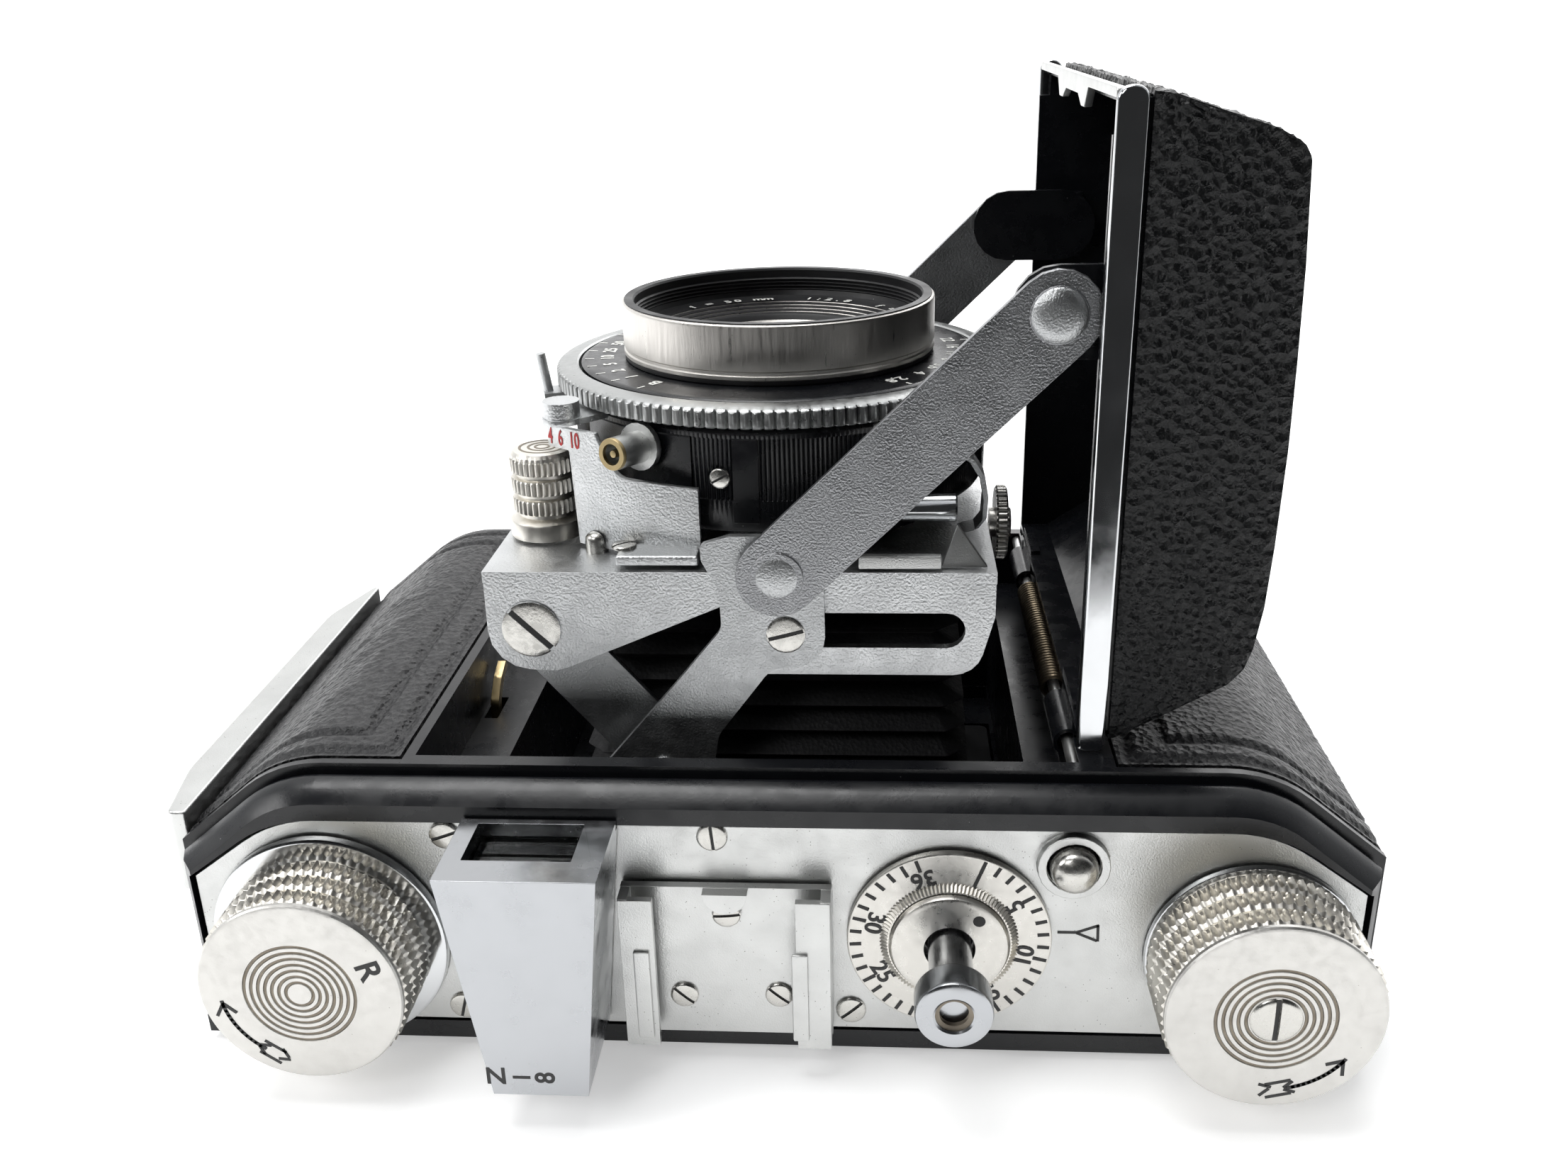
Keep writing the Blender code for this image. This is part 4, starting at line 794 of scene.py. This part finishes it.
def build_counter():
    at, radius = COUNTER_AXIS, 9.96
    dial = lathe([(2.9, 1.0), (5.95, 1.0), (6.6, 0.93), (radius - 0.25, 1.0), (radius - 0.05, 0.9),
                  (radius, 0.75), (radius, 0.3), (2.9, 0.3), (2.9, 1.0)], at, "-Y", steps=160)
    stand_in("counter_dial", dial, "turned", 30)
    milled = lathe([(5.9, 1.55, 0), (6.1, 1.5, 0.12), (6.75, 1.05, 0.3), (6.75, 0.95, 0.3), (5.9, 0.9, 0),
                    (5.9, 1.55, 0)], at, "-Y", teeth=104)
    piece("counter_milled_ring", milled, "nickel", "counter", "satin_chrome", 25)
    hub = lathe([(2.5, 2.3), (5.1, 2.3), (5.6, 2.1), (5.8, 1.7), (5.8, 1.4), (2.5, 1.3), (2.5, 2.3)], at,
                "-Y", steps=128)
    stand_in("counter_hub", hub, "turned", 30)
    spot = dial_place(at, 50, 4.3).translation
    # A black disc standing for a small hole in the hub: painted shade.
    hole = lathe([(0, 2.33), (0.6, 2.33), (0.6, 2.2), (0, 2.2)], spot, "-Y", steps=24)
    piece("hub_hole", hole, "ink_and_shade", "counter", "satin_chrome", 0)
    face = above(at, 1.012)
    rows, marks = [], []
    for count in range(1, LAST_FRAME + 1):
        a = 70 - 9.14 * (count - 1)
        long = 1.35 if count % 5 == 0 or count in (1, LAST_FRAME) else 1.15
        rows.append((dial_place(face, a, radius - 0.25 - long / 2, a), long, 0.36))
        if count in (1, 5, 10, 15, 20, 25, 30, LAST_FRAME):
            marks.append((str(count), 2.45, dial_place(face, a, 7.55, a + 90)))
    piece("counter_ticks", ticks(rows), "ink_and_shade", "counter", "turned_alloy")
    piece("counter_numbers", lettering(marks), "ink_and_shade", "counter", "turned_alloy")
    stem = lathe([(1.75, 11.0), (1.75, 12.05), (1.95, 12.2), (3.2, 12.2), (3.5, 12.05), (3.6, 11.75),
                  (3.6, 9.25), (3.45, 9.0), (3.0, 8.75), (2.1, 8.5), (2.1, -1.9), (0, -1.9)], at, "-Y",
                 steps=96)
    threads = [(1.75, 11.9)]
    for i in range(5):
        threads += [(1.35, 11.75 - 0.5 * i), (1.75, 11.5 - 0.5 * i)]
    bore = lathe(threads + [(0, 9.4), (0, 9.35), (1.85, 9.2), (1.85, 11.95), (1.75, 11.9)], at, "-Y",
                 steps=64)
    stand_in("release_button", stem, "satin", 30)
    # The threads inside the button's bore, in the darker groove colour.
    piece("release_thread", bore, "groove_dark", "release", "bright_chrome", 30)
    refine("film_release_button", "screw", 0.25, 3)
    refine("door_release_button", "bright", 0.25, 3)
    rim = lathe([(2.5, 0.0), (2.55, 0.5), (2.8, 0.62), (3.25, 0.55), (3.45, 0.1), (3.45, -0.1), (2.5, 0)],
                (29.55, PLATE_Y, 23.3), "-Y", steps=64)
    piece("film_release_collar", rim, "plate", *ON_BODY, 30)
    rows = []
    for x, z, length, width, lean in ((11.5, 0, 1.9, 0.3, 0), (13.5, 0.45, 2.2, 0.28, 22),
                                      (13.4, -0.5, 2.2, 0.28, -24), (14.45, -0.05, 1.9, 0.28, 92)):
        place = dial_place((at[0] + x, PLATE_Y - 0.02, 15.4 + z), 0, 0, lean)
        rows.append((place, length, width))
    piece("counter_index", ticks(rows), "ink_and_shade", *ON_BODY)


def build_shoe_and_finder():
    refine("accessory_shoe", "plate", 0.45, 4)
    leaves = [bar((x - 0.8, -40.95, 4.6), (x + 0.8, -40.55, 14.9), 0.2) for x in (-12.0, 3.45)]
    piece("shoe_leaves", joined(leaves), "plate", *ON_BODY)
    screws("shoe_screws", [((x, y, z), "-Y", 1.4, 0.4, turn) for x, y, z, turn in (
        (-3.75, -38.5, 17.9, 5), (-8.35, -38.2, 8.0, -42), (1.2, -38.2, 8.2, -40))], *ON_BODY)
    refine("finder_housing", "satin", 0.4, 4)
    front = frame["nodes"]["finder_housing"].data
    facing = max((f for f in front.polygons if f.normal.y < -0.8), key=lambda f: f.area)
    normal = facing.normal.normalized()
    up = (Vector((0, 0, 1)) - normal * normal.z).normalized()
    lowest = min((front.vertices[v].co for v in facing.vertices), key=lambda c: c.z)
    foot = facing.center + up * ((lowest - facing.center).dot(up) + 2.1 * MM)
    place = Matrix((up.cross(normal), up, normal)).transposed().to_4x4()
    place.translation = (foot + normal * 0.012 * MM) / MM
    letter = ("N", 2.7, place @ Matrix.Translation((-2.3, 0, 0)))
    eight = ("8", 2.7, place @ Matrix.Translation((2.5, 0, 0)) @ spin(90))
    piece("finder_range_mark", lettering([letter, eight]), "ink_and_shade", *ON_BODY)
    dash = ticks([(place @ Matrix.Translation((0.15, 0, 0)), 1.7, 0.32)])
    piece("finder_range_dash", dash, "ink_and_shade", *ON_BODY)
    refine("finder_front_lens", "window", 0.1)
    refine("finder_eyepiece", "window", 0.1)


def build_linkage():
    for side in ("near", "far"):
        refine("strut_" + side, "strut", 0.12)
        refine("slot_arm_" + side, "arm", 0.12)
        refine("cross_arm_" + side, "arm", 0.12)
    refine("lens_standard", "standard", 0.16, 2)
    pins = heads([(0, 0.32), (1.0, 0.3), (1.35, 0.16), (1.45, 0), (0, 0)], ARM_PIN, 32)
    piece("arm_pin_heads", pins, "brass", "slot_arms", "satin_chrome")
    pins = heads([(0, 0.35), (1.5, 0.3), (2.3, 0.1), (2.4, 0), (0, 0)], STRUT_PIN, 32)
    piece("strut_pin_heads", pins, "arm", "struts", "satin_chrome")
    screws("standard_screws", [(on_side(STANDARD_PIVOT, side), aim, 2.95, 0.17, 45 * side)
                               for side, aim in SIDES], *ON_STANDARD)
    screws("slot_screws", [(on_side(SLOT_PIVOT, side), aim, 1.9, 0.22, 45 * side + 60)
                           for side, aim in SIDES], "slot_arms", "satin_chrome")
    folds()


def folds():
    """Bellows: alternating ridges and valleys with folded corners."""
    rear, front, rows = 8.9, 46.5, 27
    points = []
    for i in range(rows):
        t = i / (rows - 1)
        inset, corner = (0.15, 2.2) if i % 2 == 0 else (2.6, 0.7)
        x, y = 22.0 - 3.0 * t - inset, 22.2 - 0.6 * t - inset
        ring = [(x - corner, -y), (x, -y + corner), (x, y - corner), (x - corner, y),
                (-x + corner, y), (-x, y - corner), (-x, -y + corner), (-x + corner, -y)]
        points.extend(Vector((px, py, rear + (front - rear) * t)) * MM for px, py in ring)
    made = stand_in("bellows", bevelled(mesh_of("bellows", points, rungs(rows, 8)), 0.18, 2, 20), "bellows",
                    30)
    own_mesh(made)


def build_focus():
    def wave(phase):
        return (0.5 + 0.5 * np.cos(2 * math.pi * phase)) ** 1.4

    at = (-23.6, -15.15, 48.8)
    profile = [(0, 9.5, 0), (2.5, 9.5, 0), (3.0, 9.35, 0), (3.3, 9.0, 0)]
    for top in (8.7, 6.6, 4.5):
        profile += [(3.38, top, 0.05), (3.5, top - 0.15, 0.3), (3.5, top - 1.35, 0.3),
                    (3.35, top - 1.5, 0.05), (2.95, top - 1.6, 0), (2.95, top - 2.0, 0)]
    profile += [(3.8, 2.1, 0), (3.9, 1.9, 0), (3.9, 0.35, 0), (0, 0.3, 0)]
    stand_in("focus_knob", lathe(profile, at, "+Z", teeth=34, wave=wave), "nickel", 30)
    wheel = lathe([(0, 1.7, 0), (1.5, 1.7, 0), (1.6, 1.5, 0), (1.6, 1.3, 0), (3.7, 1.25, 0),
                   (4.0, 1.05, 0.35), (4.0, 0.2, 0.35), (3.7, 0.02, 0), (1.6, 0, 0), (1.6, -0.6, 0),
                   (0, -0.7, 0)], (23.4, -8.0, 47.5), "+X", teeth=40, wave=wave)
    stand_in("setting_wheel", wheel, "turned", 30)
    screws("standard_top_screws", [((-14.3, -22.9, 50.2), "+Z", 1.25, 0.4, 35),
                                   ((-17.6, -20.2, 48.8), "+Z", 1.15, 2.1, -30)], "standard", "satin_chrome")
    # Darker rings sunk into the top face of the focus knob.
    rings = [lathe([(r, 9.53), (r + 0.25, 9.53), (r + 0.25, 9.4), (r, 9.4), (r, 9.53)], at, "+Z",
                   steps=64) for r in (0.6, 1.3, 2.2)]
    piece("focus_knob_rings", joined(rings), "groove_dark", "focus_knob", "satin_chrome", 0)


def scale_top(angle):
    """Upper edge of the distance scale: tall wing, filleted down to the low part."""
    if angle < 243.5:
        return 61.2
    drop = (angle - 243.5) / 7.0
    return 56.9 + 4.3 * (1 - min(1.0, drop)) ** 2.2 if drop < 1 else 56.9 - 0.5 * (angle - 250.5) / 14.3


def build_scale():
    """Curved scale plate on its foot, with red distance figures on the tall wing."""
    bow, inner, outer = Vector((-3.9, 5.6)), 28.6, 29.2
    points = []
    angles = np.concatenate((np.linspace(230.4, 243.4, 14), np.linspace(243.6, 251, 16),
                             np.linspace(252, 264.8, 12)))
    for angle in angles:
        a = math.radians(angle)
        low, top = 58.9 if angle < 236.9 else 49.15, scale_top(angle)
        for radius, z in ((inner, low), (outer, low), (outer, top), (inner, top)):
            points.append(Vector((bow.x + radius * math.cos(a), bow.y + radius * math.sin(a), z)) * MM)
    plate = bevelled(mesh_of("scale", points, strap(len(angles))), 0.1)
    foot = [(-14.8, -25.6), (-6.6, -25.6), (-6.6, -23.1), (-10.5, -22.0), (-14.6, -20.7)]
    points = [Vector((x, y, z)) * MM for z in (49.15, 50.2) for x, y in foot]
    n = len(foot)
    base = mesh_of("scale_foot", points, rungs(2, n) + [tuple(range(n)), tuple(range(n, 2 * n))])
    stand_in("distance_scale", joined([plate, bevelled(base, 0.25, 3)]), "standard", 40)
    marks = []
    for text, angle in (("4", 231.4), ("6", 234.4), ("10", 238.2)):
        a = math.radians(angle)
        place = Matrix.Translation((bow.x + 29.23 * math.cos(a), bow.y + 29.23 * math.sin(a), 60.0))
        place = place @ Matrix.Rotation(a - math.pi * 1.5, 4, "Z") @ Matrix.Rotation(math.pi / 2, 4, "X")
        marks.append((text, 2.3, place @ Matrix.Diagonal((0.6, 1, 1, 1))))
    piece("scale_numbers", lettering(marks), "red", *ON_STANDARD)


def build_standard_trim():
    """Small fittings on top of the standard, beside the hinge side of the shutter."""
    track = bar((9.0, -25.9, 49.0), (17.0, -24.9, 50.3), 0.15)
    corners = ((17.0, -25.4, 49.0), (21.5, -25.4, 49.0), (18.5, -24.6, 53.2), (17.0, -24.7, 49.0),
               (21.5, -24.7, 49.0), (18.6, -24.1, 53.1))
    tab = mesh_of("tab", [Vector(p) * MM for p in corners],
                  [(0, 1, 2), (3, 5, 4), (0, 3, 4, 1), (1, 4, 5, 2), (2, 5, 3, 0)])
    piece("focus_track", joined([track, bevelled(tab, 0.12)]), "plate", *ON_STANDARD)
    points, half = [], 1.6
    path = [(16.5, 58.6), (18.8, 57.9), (20.6, 56.8), (21.7, 55.0), (22.1, 52.8), (22.0, 50.6), (21.2, 49.5),
            (19.6, 49.1)]
    for x, z in path:
        for dy, dx in ((-half, 0.0), (half, 0.0), (half, -0.5), (-half, -0.5)):
            points.append(Vector((x + dx, -14 + dy, z + dx * 0.5)) * MM)
    piece("focus_spring", bevelled(mesh_of("loop", points, strap(len(path))), 0.1), "arm", *ON_STANDARD)
    rod = lathe([(0, 0), (1.3, 0), (1.45, 0.2), (1.45, 5.6), (1.3, 5.8), (0, 5.8)], (12.9, -19.6, 53.2), "+X",
                48)
    piece("focus_rod", rod, "bright", *ON_STANDARD, 30)
    piece("ring_stop", bar((10.4, -22.9, 61.75), (13.4, -20.9, 62.35), 0.2), "plate", "lens_unit",
          "satin_chrome")


def build_shutter():
    case = lathe([(12.6, 62.2, 0), (21.5, 62.2, 0), (22.2, 62.0, 0), (22.6, 61.6, 0), (22.6, 61.1, 0.0),
                  (22.6, 61.0, 0.2), (22.6, 54.9, 0.2), (22.6, 54.8, 0.0), (22.6, 52.2, 0), (22.2, 51.5, 0),
                  (21.2, 51.0, 0), (19.5, 50.8, 0), (19.5, 49.2, 0), (13.9, 49.2, 0), (13.9, 46.2, 0),
                  (12.6, 46.2, 0), (12.6, 62.2, 0)], teeth=300)
    stand_in("shutter_housing", case, "enamel", 30)
    patches = []
    for middle, half in ((232, 19), (265, 3.2), (180, 6), (20, 12), (100, 20)):
        points, rows = [], 15
        for i in range(rows):
            angle = middle - half + 2 * half * i / (rows - 1)
            for radius, z in ((22.55, 52.4), (22.72, 52.6), (22.72, 61.0), (22.55, 61.2)):
                points.append(polar(radius, angle, z) * MM)
        patches.append(mesh_of("patch", points, strap(rows, False)))
    piece("shutter_name_plates", joined(patches), "enamel", *ON_SHUTTER, 30)
    face = lathe([(14.6, 64.8), (16.9, 64.8), (20.9, 64.72), (21.3, 64.66), (21.6, 64.5), (21.6, 62.5),
                  (14.6, 62.5), (14.6, 64.8)], steps=160)
    stand_in("shutter_face", face, "enamel", 30)

    def teeth(phase):
        return np.clip(np.abs(2 * phase - 1) * 5 - 3.2, 0, 1)

    ring = lathe([(21.9, 64.45, 0), (22.1, 64.6, 0), (23.0, 64.55, 0), (23.9, 64.35, 0), (24.2, 64.2, 0.3),
                  (24.3, 64.05, 0.6), (24.3, 62.65, 0.55), (24.15, 62.5, 0.4), (21.9, 62.5, 0),
                  (21.9, 64.45, 0)], teeth=132, wave=teeth)
    stand_in("speed_ring", ring, "ring", 30)
    build_lens()
    refine("sync_socket", "plate", 0.15)
    low, high = Vector((-12.28, -19.6, 59.7)), Vector((-14.65, -23.67, 60.0))
    along = (high - low).normalized()
    spin = along.to_track_quat("Z", "Y").to_matrix()
    gold = lathe([(1.05, 0.12), (1.55, 0.12), (1.6, 0), (1.6, -0.3), (1.05, -0.3), (1.05, 0.12)],
                 high + along * 0.1, spin, 40)
    piece("socket_ring", gold, "brass", "lens_unit", "brass")
    pin = lathe([(0, 0.0), (0.35, -0.05), (0.4, -0.4), (0.4, -1.6), (0, -1.6)], high, spin, 20)
    piece("socket_pin", pin, "brass", "lens_unit", "brass")
    side_aim = polar(1, 258.5).to_track_quat("Z", "Y").to_matrix()
    screws("shutter_side_screw", [(polar(22.62, 258.5, 57.1), side_aim, 1.05, 0.4, 30)], *ON_SHUTTER)
    refine("cocking_lever", "arm", 0.08)
    refine("release_lever", "standard", 0.15)
    marks, rows = [], []
    for text, angle in (("B", 232), ("1", 220), ("2", 210), ("5", 200), ("10", 190), ("25", 179.5),
                        ("50", 168.5), ("100", 156), ("250", 142)):
        marks.append((text, 2.0, on_ring(angle, 18.7, 64.78)))
        rows.append((on_ring(angle, 20.7, 64.73), 0.2, 1.0))
    for text, angle in (("2,8", 312), ("4", 323), ("5,6", 333), ("8", 343), ("11", 352), ("16", 2),
                        ("22", 12)):
        marks.append((text, 1.9, on_ring(angle, 18.9, 64.78)))
        rows.append((on_ring(angle, 20.8, 64.73), 0.2, 0.8))
    piece("face_numbers", lettering(marks), "white", *ON_SHUTTER)
    piece("face_ticks", ticks(rows), "white", *ON_SHUTTER)
    words = [(letter, 1.7, on_ring(138 - i * 4.9, 14.3, 67.62))
             for i, letter in enumerate("f = 50 mm   1:2.8   f = 50")]
    piece("lens_words", lettering(words), "white", *ON_LENS)


def build_lens():
    """Lens barrel with its stepped black inside, foot ring, glasses and the closed shutter behind them."""
    stairs = [(r + 0.7 * i, z + 0.25 * i) for i in range(5) for r, z in ((11.2, 66.2), (11.25, 66.35))]
    barrel = lathe([(14.3, 65.5), (14.3, 62.5), (12.2, 62.5), (12.2, 57.0), (10.6, 57.0),
                    (10.6, 65.6)] + stairs + [(14.9, 67.5), (15.5, 67.8), (15.75, 68.4), (15.8, 70.6),
                                              (15.95, 70.85), (16.2, 70.9), (16.6, 70.88), (16.82, 70.75),
                                              (16.9, 70.5), (16.9, 66.3), (16.75, 66.15), (16.75, 65.9),
                                              (16.9, 65.75), (16.9, 65.4), (16.8, 65.3), (14.3, 65.5)],
                   steps=200)
    stand_in("lens_barrel", barrel, "barrel", 30)
    stairs = [(r + 0.05, z + 0.08) for r, z in stairs[2:]]
    thread = [(r, z + 0.4 * i) for i in range(4) for r, z in ((15.4, 68.55), (15.6, 68.7))]
    inner = lathe([(10.75, 65.72), (11.15, 66.28),
                   (11.3, 66.43)] + stairs + [(14.85, 67.56), (15.35, 67.86),
                                              (15.55,
                                               68.4)] + thread +
                  [(15.55, 70.75), (15.7, 70.97), (16.6, 70.99), (16.62, 70.9), (16.1, 70.85), (15.85, 70.6),
                   (15.8, 68.3), (15.5, 67.7), (10.75, 65.5), (10.75, 65.72)], steps=160)
    piece("lens_inner_black", inner, "matt", *ON_LENS, 30)
    collar = lathe([(16.4, 65.5), (16.75, 65.45), (16.8, 65.2), (16.8, 64.9), (16.4, 64.9), (16.4, 65.5)],
                   steps=120)
    piece("lens_foot_ring", collar, "matt", *ON_LENS, 30)
    refine("front_element", "glass", 0.1, 2, 60)
    refine("rear_element", "glass", 0.1, 2, 60)
    refine("rear_cell", "matt", 0.15)
    stop = lathe([(0, 61.0), (10.4, 61.0), (10.4, 60.8), (0, 60.8)], steps=48)
    piece("shutter_blades", stop, "matt", "lens_unit", "blackened_metal", 30)


def build_stage():
    """Pale floor with a curved backdrop."""
    path = [(y, 0.0) for y in (-0.146, -0.05, 0.0, 0.3, 0.8, 1.6)]
    path += [(1.6 + 1.2 * math.sin(a), 1.2 - 1.2 * math.cos(a)) for a in np.linspace(0.1, math.pi / 2, 14)]
    path += [(2.8, 3.5)]
    mesh = bpy.data.meshes.new("backdrop")
    mesh.from_pydata([(x, y, z - 0.0001) for y, z in path for x in (-4.0, 4.0)], [],
                     rungs(len(path), 2, False))
    floor = placed("backdrop", mesh)
    for name, glow in (("paper", 0.42), ("far_paper", 0.95)):
        paper = Look(name, (0.9, 0.9, 0.9), 0.0, 0.8, Emission_Color=(1, 1, 1, 1), Emission_Strength=glow)
        paper.tint(paper.ramp(paper.noise(300, 3), 0.3, 0.7, 0, 0.5), (0.88, 0.88, 0.88))
        mesh.materials.append(paper.material)
    for face in mesh.polygons:
        face.material_index = 1 if face.center.y > 0.3 else 0
    mesh.shade_smooth()


def build_lights():
    """Soft area lights in a room that is dim in front and bright behind the object."""
    world = bpy.data.worlds.new("studio")
    bpy.context.scene.world = world
    world.use_nodes = True
    tree = world.node_tree
    coords = tree.nodes.new("ShaderNodeTexCoord").outputs["Generated"]
    split = tree.nodes.new("ShaderNodeSeparateXYZ")
    tree.links.new(coords, split.inputs[0])
    front = tree.nodes.new("ShaderNodeMapRange")
    front.interpolation_type = "SMOOTHSTEP"
    tree.links.new(split.outputs["Y"], front.inputs["Value"])
    for name, value in (("From Min", -0.45), ("From Max", 0.3), ("To Min", 0.035), ("To Max", 0.85)):
        front.inputs[name].default_value = value
    background = tree.nodes["Background"]
    background.inputs["Color"].default_value = (0.96, 0.98, 1, 1)
    tree.links.new(front.outputs["Result"], background.inputs["Strength"])
    for name, at, size, power in (("top_light", (-0.15, 0.1, 0.8), 0.5, 5.0),
                                  ("left_light", (-0.8, -0.2, 0.5), 0.4, 2.5),
                                  ("back_light", (0.2, 0.9, 0.6), 0.5, 1.8),
                                  ("glint_light", (-0.3, -0.5, 0.5), 0.25, 1.1)):
        data = bpy.data.lights.new(name, "AREA")
        data.size = size
        data.energy = power
        lamp = placed(name, data)
        lamp.location = at
        lamp.rotation_euler = (Vector((0, 0, 0.04)) - Vector(at)).to_track_quat("-Z", "Y").to_euler()


def build_camera():
    pitch, yaw, roll = CAMERA_TURN
    ahead = Vector((math.sin(yaw) * math.cos(pitch), math.cos(yaw) * math.cos(pitch), -math.sin(pitch)))
    level = Vector((math.cos(yaw), -math.sin(yaw), 0))
    drop = ahead.cross(level)
    right = level * math.cos(roll) + drop * math.sin(roll)
    down = drop * math.cos(roll) - level * math.sin(roll)
    lens = bpy.data.cameras.new("camera")
    lens.sensor_width = 36
    lens.lens = CAMERA_LENS
    lens.clip_start, lens.clip_end = 0.01, 50
    view = placed("camera", lens)
    turned = Matrix((right, -down, -ahead)).transposed().to_4x4()
    view.matrix_world = Matrix.Translation(Vector(CAMERA_AT) * MM) @ turned
    bpy.context.scene.camera = view
    bpy.context.scene.view_settings.view_transform = "Standard"


build_leathers()
build_door()
build_body()
build_knobs()
build_counter()
build_shoe_and_finder()
build_linkage()
build_focus()
build_scale()
build_standard_trim()
build_shutter()
build_stage()
build_lights()
build_camera()
